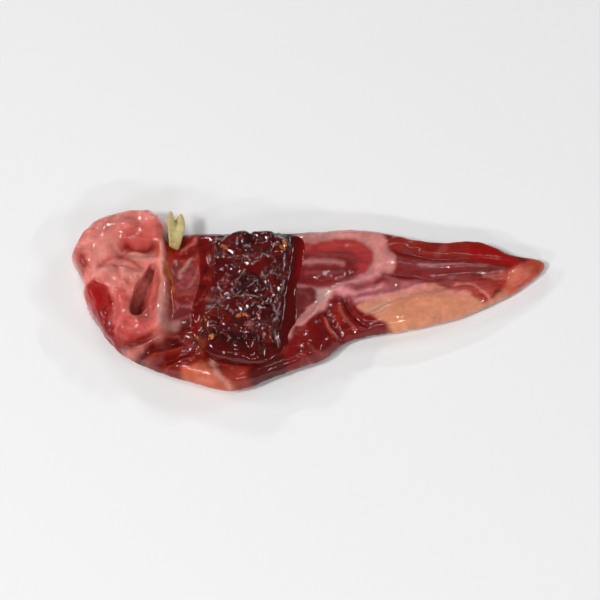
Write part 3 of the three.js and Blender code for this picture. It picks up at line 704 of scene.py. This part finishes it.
def paint_fat(paint):
    paint.area("#D0886A", FAT, 0.55)
    paint.area("#C08874", [(16.5, -1), (19, 1.4), (24, 3), (24, 0), (20.6, -2.6)], 1.2, 0.8)
    paint.area("#D08E7E", [(22, 2.4), (28, 4.8), (33, 6.6), (31, 4.2), (24, 1.6)], 1.0, 0.6)
    paint.area("#D4887C", [(29, 5.5), (35, 7.8), (38.6, 7.4), (45, 6), (44, 4), (37.6, 4.6), (33, 4)],
               1.0, 0.8)
    paint.area("#D58A60", [(24, -4), (29, -3.4), (36, -2.6), (36, -6.5), (28, -8)], 1.4, 0.6)
    paint.area("#BA5040", TIP, 0.7)
    paint.area("#CC7460", [(55.4, 12.6), (59, 14.8), (61.4, 14.4), (58.4, 10.6), (55.4, 9)], 1.0, 0.7)
    paint.area("#B04A2E", [(60.4, 17.8), (66, 18.6), (66, 14.6), (63.6, 13)], 1.0, 0.8)
    paint.area("#B24A42", [(40.5, 8.4), (44, 10), (47.6, 10.7), (52.3, 10.2), (53.9, 9), (51.9, 7.1),
                           (50.6, 4.4), (46.9, 4.3), (45.3, 5.8), (40.5, 6.6)], 0.8, 0.95)
    for top, foot in (((48.4, 5.4), (49.4, 4.6)), ((45.4, 8.6), (46.8, 8)), ((52, 9), (53.6, 8.6))):
        paint.line("#9C1F1A", [top, foot], 0.9, 0.75)
    paint.line("#D08A7C", [(44, 9.2), (47.4, 7.4), (50, 5.8), (51.2, 4.2)], 0.4, 0.85)
    paint.line("#CE867A", [(41, 8), (44, 8.8), (46.4, 9)], 0.4, 0.7)
    paint.line("#C88266", [(50.6, 3), (53.4, 5.4), (54.6, 7.4)], 0.9, 0.8)


for paint_area in (paint_folded_end, paint_beside_ridge, paint_folds, paint_near_sauce, paint_eye,
                   paint_low_corner, paint_strips, paint_fat, paint_ridge, paint_slit):
    paint_area(meat_paint)
print("meat colour, mean:", np.round(meat_paint.colour.mean(0), 3))

# %% [markdown]
# Fresh meat is wet: under a thin clear film lies a slightly translucent body. So the shader has two
# layers. The body has soft subsurface light and the fine grain of the fibres; the clear coat is almost
# mirror smooth and gives the glints. The grain follows the fibres because its noise reads an attribute
# that measures places along and across them, not plain object space.

# %% Store the paint and the grain on the mesh
def store_colour(piece, name, colours):
    layer = piece.data.color_attributes.new(name, "FLOAT_COLOR", "POINT")
    layer.data.foreach_set("color", np.column_stack([np.clip(colours, 0, 1), np.ones(len(colours))]).ravel())


def store_vector(piece, name, vectors):
    layer = piece.data.attributes.new(name, "FLOAT_VECTOR", "POINT")
    layer.data.foreach_set("vector", np.asarray(vectors, float).ravel())


def store_value(piece, name, values):
    layer = piece.data.attributes.new(name, "FLOAT", "POINT")
    layer.data.foreach_set("value", np.asarray(values, float))


MOTTLE_STRENGTH = 0.13
FINE_MOTTLE_STRENGTH = 0.1
FIBRE_STRENGTH = 0.1

shade = 1 + MOTTLE_STRENGTH * mottle + FINE_MOTTLE_STRENGTH * fine_mottle
pale = smoothstep(0.08, 0.2, meat_paint.colour[:, 1])
fibrous = (1 - in_lobe) * (1 - 0.85 * pale)
shade += FIBRE_STRENGTH * fibrous * fibres
meat_colours = meat_paint.colour * shade[:, None]
store_colour(meat, "meat_colour", meat_colours)
store_vector(meat, "grain", np.column_stack([grain, meat_points[:, 2]]))
store_value(meat, "fibrous", fibrous)
smooth_shading(meat)
print("fibrous share:", round(fibrous.mean(), 2))


# %% The wet meat material
class Nodes:
    """Short names for adding and linking the nodes of one material."""

    def __init__(self, name):
        self.material = bpy.data.materials.new(name)
        self.material.use_nodes = True
        self.tree = self.material.node_tree
        self.shader = self.tree.nodes["Principled BSDF"]

    def add(self, kind, inputs=(), **settings):
        node = self.tree.nodes.new("ShaderNode" + kind)
        for setting, value in settings.items():
            setattr(node, setting, value)
        for socket, value in dict(inputs).items():
            self.put(node, socket, value)
        return node

    def put(self, node, socket, value):
        if isinstance(value, bpy.types.NodeSocket):
            self.tree.links.new(value, node.inputs[socket])
        else:
            node.inputs[socket].default_value = value

    def finish(self, **inputs):
        for socket, value in inputs.items():
            self.put(self.shader, socket.replace("_", " "), value)


def wet_meat():
    make = Nodes("wet raw veal")
    colour = make.add("Attribute", attribute_name="meat_colour").outputs["Color"]
    grain_place = make.add("Attribute", attribute_name="grain").outputs["Vector"]
    fibrous = make.add("Attribute", attribute_name="fibrous").outputs["Fac"]
    place = make.add("TexCoord").outputs["Object"]

    along_fibres = make.add("Mapping", {"Vector": grain_place, "Scale": (1.9, 0.12, 0.5)})
    fibre = make.add("TexNoise", {"Vector": along_fibres.outputs[0], "Scale": 1.0, "Detail": 4.0})
    fibre_tint = make.add("MapRange", {"Value": fibre.outputs["Fac"], "From Min": 0.3, "From Max": 0.7,
                                       "To Min": 0.86, "To Max": 1.16})
    speck = make.add("TexNoise", {"Vector": place, "Scale": 1400.0, "Detail": 5.0})
    speck_tint = make.add("MapRange", {"Value": speck.outputs["Fac"], "From Min": 0.3, "From Max": 0.7,
                                       "To Min": 0.94, "To Max": 1.06})
    tint = make.add("Mix", {"Factor": fibrous, "A": speck_tint.outputs[0], "B": fibre_tint.outputs[0]})
    tinted = make.add("VectorMath", {0: colour, "Scale": tint.outputs[0]}, operation="SCALE")

    fibre_bump = make.add("Bump", {"Height": fibre.outputs["Fac"], "Strength": 0.35, "Distance": 0.25 * MM})
    body_bump = make.add("Bump", {"Height": speck.outputs["Fac"], "Strength": 0.15, "Distance": 0.2 * MM,
                                  "Normal": fibre_bump.outputs[0]})
    film = make.add("TexNoise", {"Vector": place, "Scale": 650.0, "Detail": 2.0})
    film_bump = make.add("Bump", {"Height": film.outputs["Fac"], "Strength": 0.22, "Distance": 0.35 * MM})
    make.finish(Base_Color=tinted.outputs[0], Roughness=0.42, Subsurface_Weight=0.25,
                Subsurface_Radius=(1.0, 0.32, 0.2), Subsurface_Scale=1.4 * MM, Specular_IOR_Level=0.1,
                Coat_Weight=1.0, Coat_Roughness=0.06, Coat_IOR=1.36, Normal=body_bump.outputs[0],
                Coat_Normal=film_bump.outputs[0])
    return make.material


meat.data.materials.append(wet_meat())
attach(meat, "root")
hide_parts("veal_slice")
print("meat nodes:", len(meat.data.materials[0].node_tree.nodes))

# %% [markdown]
# The sauce is chopped chilli in a thick wet syrup: a heap of soft lumps of three to five millimetres, with
# narrow gullies between them where the syrup gathers. Cells of Voronoi noise have just that form, so the
# distance to the border between two cells gives each lump a dome and each gully its bend. Along both
# sides the syrup has run out into a thin smooth film, which keeps no lumps, and at the near end it rolls
# over into a smooth thick lip.

# %% The sauce, ready to shape
SAUCE_VOXEL = 0.21
SAUCE_SMOOTHING = 70

sauce = copy_of_node("chilli_sauce", "chilli_sauce_dressed")
apply_modifier(sauce, "REMESH", mode="VOXEL", voxel_size=SAUCE_VOXEL * MM)
apply_modifier(sauce, "SMOOTH", factor=0.5, iterations=SAUCE_SMOOTHING)
print("sauce triangles:", triangles_of(sauce))


# %% Sink the sauce's foot into the meat that it clings to
SINK = 0.95
CLINGS_WITHIN = 1.5


def surface_under(piece):
    """A function that gives the height of a piece's top at a place in plan, in millimetres."""
    tree = BVHTree.FromObject(piece, bpy.context.evaluated_depsgraph_get())

    def height(x, y):
        hit = tree.ray_cast(Vector((x, y, 100)) * MM, Vector((0, 0, -1)))[0]
        return hit.z / MM if hit else 0.0

    return height


meat_height = surface_under(meat)


def ground_under(points):
    return np.array([meat_height(x, y) for x, y, _ in points])


def settle(points, ground, sink, within):
    """Points that lie close over the meat are drawn down into it, and higher ones stay."""
    settled = points.copy()
    settled[:, 2] -= sink * (1 - smoothstep(0, within, points[:, 2] - ground))
    return settled


sauce_ground = ground_under(points_of(sauce))
sauce_points = settle(points_of(sauce), sauce_ground, SINK, CLINGS_WITHIN)
sauce_plan = sauce_points[:, :2]
print("sauce foot, mm:", round(sauce_points[:, 2].min(), 2))

# %% Lumps of chopped chilli, with a web of syrup between them
LUMP_SIZE = 5.2
LUMP_HEIGHT = 1.05
CRUMB_SIZE = 1.9
CRUMB_HEIGHT = 0.12
WEB_HEIGHT = 0.4
WEB_HALF_WIDTH = 0.3
THINNED = 0.5
FILM_SWELL = 0.1
LIP_LINE = -18.2
LIP_HALF_WIDTH = 1.6
LIP_BULGE = 0.7
LIP_REACH = 0.9
LIP_STRETCHES = (-14.5, -19)
LIP = (-13.5, -16.5)
FILM_FROM = [(-2.6, -19.5), (-3.9, -12), (-4.1, -4), (-3.9, 4), (-3.5, 12), (-3.6, 22)]
SMEAR_FROM = [(-23, -19.5), (-25.6, -13), (-25.2, -6), (-24, 2), (-24.6, 11), (-25, 22)]
WEB = [
    [(-18.2, 16.3), (-17.9, 14.6), (-16.4, 13.9), (-14.8, 14.6)],
    [(-18.7, 10.8), (-16.2, 11.3), (-14.2, 10.3), (-13.5, 8.8), (-12.2, 9.8), (-10.7, 11.3), (-8.5, 11.6),
     (-7.7, 9.3)],
    [(-19.4, 8.4), (-18.2, 7.4), (-17, 8.2)],
    [(-15.2, 5.8), (-16.7, 2.8), (-17.5, 0.8), (-17.2, -1.1)],
    [(-10.5, 6.3), (-8.7, 3.8), (-7.5, 1.8), (-6.8, -0.7), (-6.6, -2.7), (-5.7, -4.7), (-4.3, -5.8)],
    [(-17.2, -1.1), (-13.2, -0.9), (-9.7, -1.5), (-9.2, -3.7)],
    [(-21.9, 2.2), (-20.9, -0.4), (-20, -2.2)],
    [(-4.9, 12.3), (-4.7, 9.8), (-4.8, 7.3)], [(-4.5, 4.3), (-4.8, -0.7)],
    [(-4.6, -3), (-5.1, -7.2), (-5.8, -10.7)], [(-5.2, -10.4), (-3.9, -14.8)],
    [(-11.2, -10.6), (-9.4, -12.4), (-8.6, -14.2)], [(-19.6, -12.4), (-17.6, -13.2), (-16.8, -15)],
]


def cells_of(plan, size, seed):
    """Voronoi cells: distance to the nearest centre and to the cell's border, and a draw for each cell."""
    scaled = plan / size
    own_cell = np.floor(scaled).astype(np.int64)
    nearest = np.full(len(plan), FAR_AWAY)
    second = np.full(len(plan), FAR_AWAY)
    draw = np.zeros(len(plan))
    for offset in np.ndindex(3, 3):
        cell = np.column_stack([own_cell + np.array(offset) - 1, np.zeros(len(plan), np.int64)])
        shift = np.column_stack([corner_values(cell, seed), corner_values(cell, seed + 1)])
        centre = cell[:, :2] + 0.5 + 0.45 * shift
        away = np.hypot(*(scaled - centre).T)
        closer = away < nearest
        second = np.where(closer, nearest, np.minimum(second, away))
        draw = np.where(closer, corner_values(cell, seed + 2), draw)
        nearest = np.where(closer, away, nearest)
    return nearest * size, (second - nearest) * size, draw


def right_of(plan, line):
    """How far to the right of a line each place is, in millimetres."""
    line = smooth_line(line)
    return plan[:, 0] - np.interp(plan[:, 1], line[:, 1], line[:, 0])


on_film = smoothstep(-0.8, 0.6, right_of(sauce_plan, FILM_FROM))
on_smear = smoothstep(-0.8, 0.6, -right_of(sauce_plan, SMEAR_FROM))
on_lip = smoothstep(*LIP, sauce_plan[:, 1])
in_mass = (1 - on_film) * (1 - on_smear) * (1 - 0.85 * on_lip)
_, to_gully, lump_draw = cells_of(warped(sauce_plan, 3.5, 1.0, 81), LUMP_SIZE, 91)
_, to_crack, crumb_draw = cells_of(warped(sauce_plan, 1.6, 0.5, 83), CRUMB_SIZE, 95)
dome = smoothstep(-0.5, 3.4, to_gully) ** 0.8 * (0.7 + 0.4 * lump_draw)
crumb = smoothstep(-0.3, 1.4, to_crack) * crumb_draw
web_plan = warped(sauce_plan, 1.3, 0.35, 101)
to_web = np.min([distance_to(web_plan, smooth_line(line), 3.0) for line in WEB], axis=0)
web = np.exp(-((to_web / WEB_HALF_WIDTH) ** 2)) * (0.75 + 0.35 * cloud(sauce_plan, 1.1, 103))
sauce_normals = normals_of(sauce)
sauce_up = smoothstep(0.05, 0.5, sauce_normals[:, 2])
sauce_relief = in_mass * (LUMP_HEIGHT * (dome - 0.5) + CRUMB_HEIGHT * crumb)
sauce_relief += WEB_HEIGHT * web * (1 - 0.6 * on_film)
sauce_relief += (1 - in_mass) * FILM_SWELL * cloud(sauce_plan, 3.0, 85)
sauce_shape = sauce_points.copy()
above_meat = np.maximum(sauce_points[:, 2] - sauce_ground, 0)
sauce_shape[:, 2] -= THINNED * np.maximum(on_film, on_smear) * above_meat
rolled = np.exp(-(((sauce_plan[:, 1] - LIP_LINE) / LIP_HALF_WIDTH) ** 2)) * (1 - on_smear)
sauce_shape[:, 2] += LIP_BULGE * rolled * sauce_up
sauce_shape[:, 1] -= LIP_REACH * smoothstep(*LIP_STRETCHES, sauce_plan[:, 1]) * (1 - on_smear)
sauce_shape += sauce_normals * (sauce_relief * sauce_up)[:, None]
move_points(sauce, sauce_shape)
print("sauce relief, mm:", round(sauce_relief.min(), 2), "to", round(sauce_relief.max(), 2))

# %% Paint the sauce
sauce_paint = Paint(warped(sauce_plan, 1.8, 0.4, 87), "#4C1618")
sauce_paint.lay("#371012", smoothstep(0, 0.9, lump_draw))
sauce_paint.lay("#621A18", smoothstep(0.25, 0.8, -lump_draw) * 0.8)
sauce_paint.lay("#7A2418", smoothstep(0.5, 0.95, crumb_draw) * 0.5)
sauce_paint.lay("#54282A", smoothstep(0.5, 0.95, -crumb_draw) * 0.4)
sauce_paint.area("#6E281C", [(-26, 0), (-21.4, -1.6), (-19.4, -5), (-20, -10), (-24, -12.6), (-27, -8)],
                 1.4, 0.6)
sauce_paint.area("#2E0D0E", [(-17.4, 3.8), (-13.6, 6), (-10, 3), (-9.6, 0.4), (-13, -0.2), (-17, 0)],
                 1.0, 0.7)
sauce_paint.area("#2A0A0A", [(-19.4, -13.6), (-15, -13), (-12.6, -15), (-14, -17.4), (-18.4, -17.2)],
                 1.0, 0.7)
# painted shade: the gullies between the lumps are painted darker
sauce_paint.lay("#2A0C0E", (1 - smoothstep(0.0, 0.7, to_gully)) * 0.6)
# painted highlight: pale broken lines along the web ridges of syrup, standing in for their glints
web_glint_breaks = smoothstep(-0.5, 0.3, cloud(sauce_plan, 1.4, 107))
sauce_paint.lay("#B09CA0", np.exp(-((to_web / 0.2) ** 2)) * web_glint_breaks * 0.6)
# painted highlight: pale glints here and there along the edges of the lumps
lump_edge_glint = np.exp(-(((to_gully - 0.5) / 0.2) ** 2)) * in_mass
glint_patches = smoothstep(0.2, 0.8, cloud(sauce_plan, 2.4, 109))
sauce_paint.lay("#9A8086", lump_edge_glint * glint_patches * 0.4)
sauce_paint.lay("#58100C", on_lip * (1 - web) * 0.7)
sauce_paint.lay("#520F0C", on_film)
bright_rim = smoothstep(1.2, 3.2, right_of(sauce_plan, FILM_FROM)) * smoothstep(0, 10, sauce_plan[:, 1])
sauce_paint.lay("#7C1712", bright_rim)
sauce_paint.lay("#741A14", on_smear)
sauce_paint.lay("#561410", on_smear * smoothstep(-0.2, 0.8, cloud(sauce_plan, 2.2, 89, 2)))
sauce_paint.lay("#954038", on_smear * smoothstep(0.3, 1.1, cloud(sauce_plan, 1.6, 97, 2)) * 0.6)
sauce_paint.area("#8C4426", [(-27.6, -12.6), (-24.4, -13.4), (-23, -15.8), (-25.4, -17)], 0.9, 0.6)
store_colour(sauce, "sauce_colour", sauce_paint.colour)
smooth_shading(sauce)


def wet_sauce():
    make = Nodes("wet chilli sauce")
    colour = make.add("Attribute", attribute_name="sauce_colour").outputs["Color"]
    place = make.add("TexCoord").outputs["Object"]
    pulp = make.add("TexNoise", {"Vector": place, "Scale": 1100.0, "Detail": 4.0})
    pulp_tint = make.add("MapRange", {"Value": pulp.outputs["Fac"], "From Min": 0.35, "From Max": 0.65,
                                      "To Min": 0.8, "To Max": 1.22})
    tinted = make.add("VectorMath", {0: colour, "Scale": pulp_tint.outputs[0]}, operation="SCALE")
    pulp_bump = make.add("Bump", {"Height": pulp.outputs["Fac"], "Strength": 0.3, "Distance": 0.2 * MM})
    syrup = make.add("TexNoise", {"Vector": place, "Scale": 500.0, "Detail": 1.0})
    syrup_bump = make.add("Bump", {"Height": syrup.outputs["Fac"], "Strength": 0.08, "Distance": 0.3 * MM})
    make.finish(Base_Color=tinted.outputs[0], Roughness=0.4, Subsurface_Weight=0.08,
                Subsurface_Radius=(1.0, 0.2, 0.1), Subsurface_Scale=0.6 * MM, Specular_IOR_Level=0.03,
                Coat_Weight=1.0, Coat_Roughness=0.03, Coat_IOR=1.42, Normal=pulp_bump.outputs[0],
                Coat_Normal=syrup_bump.outputs[0])
    return make.material


sauce.data.materials.append(wet_sauce())
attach(sauce, "root")
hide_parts("chilli_sauce")
print("sauce colour, mean:", np.round(sauce_paint.colour.mean(0), 3))

# %% [markdown]
# In the syrup sit flat chilli seeds, flakes of red skin and a few chopped bits of garlic. They are small
# and many, so each kind is modelled once with few faces, then copied to its places and joined into one
# piece. The model is one unit large, and each copy gets its size in millimetres. Where it lies is found
# by dropping it onto the finished sauce.

# %% Model one seed, one flake and one bit
def edit(piece):
    select_only(piece)
    bpy.ops.object.mode_set(mode="EDIT")
    bpy.ops.mesh.select_all(action="SELECT")


def one_seed():
    """A flat round seed with a thick rim and a small point."""
    bpy.ops.mesh.primitive_uv_sphere_add(segments=12, ring_count=7, radius=1)
    seed = bpy.context.object
    points = points_of(seed) * MM
    out = np.hypot(points[:, 0], points[:, 1])
    points[:, 2] *= 0.26 + 0.12 * smoothstep(0.5, 0.95, out)
    points[:, 0] += 0.3 * np.maximum(points[:, 0], 0) ** 3
    points[:, 1] *= 0.86
    seed.data.vertices.foreach_set("co", points.ravel())
    return seed


def one_flake():
    """A curled scrap of skin: a thin sheet, bent like a roof tile and cut ragged."""
    bpy.ops.mesh.primitive_grid_add(x_subdivisions=6, y_subdivisions=4, size=2)
    flake = bpy.context.object
    points = points_of(flake) * MM
    points[:, 1] *= 0.62 * (1 - 0.3 * points[:, 0] ** 2)
    points[:, 2] = 0.3 - 0.55 * points[:, 1] ** 2 - 0.18 * points[:, 0] ** 2
    flake.data.vertices.foreach_set("co", points.ravel())
    apply_modifier(flake, "SOLIDIFY", thickness=0.22, offset=-1)
    return flake


def one_bit():
    """A chopped bit: a small block with worn corners."""
    bpy.ops.mesh.primitive_cube_add(size=1.6)
    bit = bpy.context.object
    edit(bit)
    bpy.ops.mesh.subdivide(number_cuts=2, smoothness=0.8)
    bpy.ops.transform.resize(value=(1, 0.75, 0.55))
    bpy.ops.object.mode_set(mode="OBJECT")
    return bit


TEMPLATES = {"seed": one_seed(), "flake": one_flake(), "bit": one_bit()}
for kind, template in TEMPLATES.items():
    print(kind, "triangles:", triangles_of(template))

# %% Drop them onto the sauce
DRAW = np.random.default_rng(12)
sauce_tree = BVHTree.FromObject(sauce, bpy.context.evaluated_depsgraph_get())


def lie_on_sauce(x, y, tilt, sink):
    """The turned place of a thing that lies on the sauce at a place in plan, or None beside it."""
    place, normal, _, _ = sauce_tree.ray_cast(Vector((x, y, 100)) * MM, Vector((0, 0, -1)))
    if place is None:
        return None
    lean = Vector(DRAW.normal(0, tilt, 3)) + normal
    turn = Matrix.Rotation(DRAW.uniform(0, 2 * math.pi), 4, "Z")
    stand = lean.normalized().to_track_quat("Z", "Y").to_matrix().to_4x4()
    return Matrix.Translation(place - sink * MM * normal) @ stand @ turn


def scatter(name, kind, spots, sizes, colours, tilt, sink):
    """One piece of many copies of a template, each at its spot with its own size and colour."""
    template = TEMPLATES[kind]
    shape = points_of(template) * MM
    faces = [list(face.vertices) for face in template.data.polygons]
    all_points, all_faces, all_colours = [], [], []
    for x, y in spots:
        size = DRAW.uniform(*sizes)
        colour = pigment(colours[DRAW.integers(len(colours))]) * DRAW.uniform(0.8, 1.15)
        place = lie_on_sauce(x, y, tilt, sink * size)
        if place is None:
            continue
        stretch = np.array([1, DRAW.uniform(0.75, 1.1), 1]) * size * MM
        turned = shape * stretch @ np.array(place.to_3x3()).T + np.array(place.translation)
        all_faces += [[corner + len(all_points) * len(shape) for corner in face] for face in faces]
        all_points.append(turned)
        all_colours.append(np.tile(colour, (len(shape), 1)))
    mesh = bpy.data.meshes.new(name)
    mesh.from_pydata(np.vstack(all_points).tolist(), [], all_faces)
    piece = bpy.data.objects.new(name, mesh)
    bpy.context.scene.collection.objects.link(piece)
    store_colour(piece, "bit_colour", np.vstack(all_colours))
    smooth_shading(piece)
    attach(piece, "root")
    print(name, "copies:", len(all_points), "triangles:", triangles_of(piece))
    return piece


# %% Where they lie
sauce_low, sauce_high = (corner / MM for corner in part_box("chilli_sauce"))
SPOTS = 44
SPOT_SPREAD = (0.35, 0.42)
golden_turn = math.pi * (3 - math.sqrt(5))
spots = []
for i in range(SPOTS):
    out = math.sqrt((i + 0.5) / SPOTS)
    middle, size = (sauce_low + sauce_high) / 2, sauce_high - sauce_low
    spots.append((middle.x + size.x * SPOT_SPREAD[0] * out * math.cos(i * golden_turn),
                  middle.y + size.y * SPOT_SPREAD[1] * out * math.sin(i * golden_turn)))
BRIGHT_SEEDS = [(-21.3, 12.8), (-22.3, 13.9), (-5.4, 15.3), (-5.9, 14.2), (-15.3, -6.9), (-13.7, -6.5),
                (-21.4, -14.6)]
BIT_SPOTS = [(-12.1, -9.4), (-10.9, -10.8), (-8.2, 14.8)]
seed_spots = [spot for i, spot in enumerate(spots) if i % 5 < 2 and spot[1] > -14]
flake_spots = [spot for i, spot in enumerate(spots) if i % 5 == 3]

# %% One finish for all of them, coloured copy by copy
def wet_bits(name, roughness, glow, stains=(0.6, 1.25)):
    make = Nodes(name)
    colour = make.add("Attribute", attribute_name="bit_colour").outputs["Color"]
    place = make.add("TexCoord").outputs["Object"]
    stain = make.add("TexNoise", {"Vector": place, "Scale": 1500.0, "Detail": 2.0})
    stain_tint = make.add("MapRange", {"Value": stain.outputs["Fac"], "From Min": 0.3, "From Max": 0.7,
                                       "To Min": stains[0], "To Max": stains[1]})
    tinted = make.add("VectorMath", {0: colour, "Scale": stain_tint.outputs[0]}, operation="SCALE")
    make.finish(Base_Color=tinted.outputs[0], Roughness=roughness, Subsurface_Weight=glow,
                Subsurface_Radius=(1.0, 0.5, 0.25), Subsurface_Scale=0.6 * MM, Specular_IOR_Level=0.1,
                Coat_Weight=1.0, Coat_Roughness=0.06, Coat_IOR=1.4)
    return make.material


seed_finish = wet_bits("wet chilli seed", 0.35, 0.3)
skin_finish = wet_bits("wet chilli skin", 0.2, 0.1)
SEED_COLOURS = ["#6E2414", "#84361A", "#5A1A14", "#7A3C22"]
BRIGHT_COLOURS = ["#B4622A", "#A8562A"]
SKIN_COLOURS = ["#6A1A16", "#4E1212", "#7A241E", "#3E0E0E"]
BIT_COLOURS = ["#8A4A46", "#7A3C38"]
seeds = scatter("chilli_seeds", "seed", seed_spots, (0.6, 0.85), SEED_COLOURS, 0.3, 0.3)
bright_seeds = scatter("bright_seeds", "seed", BRIGHT_SEEDS, (0.85, 1.15), BRIGHT_COLOURS, 0.3, 0.15)
flakes = scatter("chilli_skins", "flake", flake_spots, (1.2, 1.9), SKIN_COLOURS, 0.3, 0.3)
bits = scatter("chopped_garlic", "bit", BIT_SPOTS, (0.9, 1.3), BIT_COLOURS, 0.4, 0.5)
for piece, finish in ((seeds, seed_finish), (bright_seeds, seed_finish), (flakes, skin_finish),
                      (bits, seed_finish)):
    piece.data.materials.append(finish)
for template in TEMPLATES.values():
    bpy.data.objects.remove(template)

# %% [markdown]
# The shred of garlic lies in the gully beside the ridge. Its near end is a narrow stem and its far end
# parts into two prongs with a dark line between them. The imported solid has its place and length, so a
# copy is remeshed, spread at the far end and creased along the middle.

# %% The shred of garlic
GARLIC_VOXEL = 0.22
FLARE = 0.4
STRETCH = 1.6
STEM_SHARE = 0.9
CREASE_DEPTH = 1.1
FORK_DEPTH = 2.6
SPINE_Y = [12.8, 15.9, 19.1, 22.8]
SPINE_X = [-35.6, -35.75, -36.1, -36.8]

garlic = copy_of_node("garlic_shred", "garlic_shred_dressed")
apply_modifier(garlic, "REMESH", mode="VOXEL", voxel_size=GARLIC_VOXEL * MM)
apply_modifier(garlic, "SMOOTH", factor=0.5, iterations=3)
garlic_points = settle(points_of(garlic), ground_under(points_of(garlic)), 0.4, 1.5)
stem_y, prong_y = garlic_points[:, 1].min(), garlic_points[:, 1].max()
along = (garlic_points[:, 1] - stem_y) / (prong_y - stem_y)
spine_x = np.interp(garlic_points[:, 1], SPINE_Y, SPINE_X)
across = garlic_points[:, 0] - spine_x
garlic_points[:, 0] = spine_x + across * (STEM_SHARE + FLARE * smoothstep(0.2, 1, along))
garlic_points[:, 1] += STRETCH * along
crease = np.exp(-((across / 0.5) ** 2)) * smoothstep(0.35, 0.8, along)
garlic_points[:, 2] -= CREASE_DEPTH * crease * smoothstep(0, 0.6, normals_of(garlic)[:, 2])
garlic_points[:, 1] -= FORK_DEPTH * crease * smoothstep(0.7, 1, along)
garlic_points += normals_of(garlic) * (0.1 * cloud(garlic_points, 2.0, 121))[:, None]
move_points(garlic, garlic_points)

garlic_paint = Paint(garlic_points[:, :2], "#CDBA80")
garlic_paint.lay("#DCCF9C", smoothstep(0.0, 0.9, cloud(garlic_points, 2.4, 131)) * 0.8)
# painted shade: the carved crease and fork between the prongs are painted darker
garlic_paint.lay("#9C8446", smoothstep(0.3, 1, crease) * 0.8)
garlic_paint.lay("#B08A4E", smoothstep(0.25, 0, along) * 0.7)
store_colour(garlic, "bit_colour", garlic_paint.colour)
smooth_shading(garlic)
garlic.data.materials.append(wet_bits("moist garlic", 0.4, 0.4, (0.92, 1.06)))
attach(garlic, "root")
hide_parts("garlic_shred")
print("garlic triangles:", triangles_of(garlic))
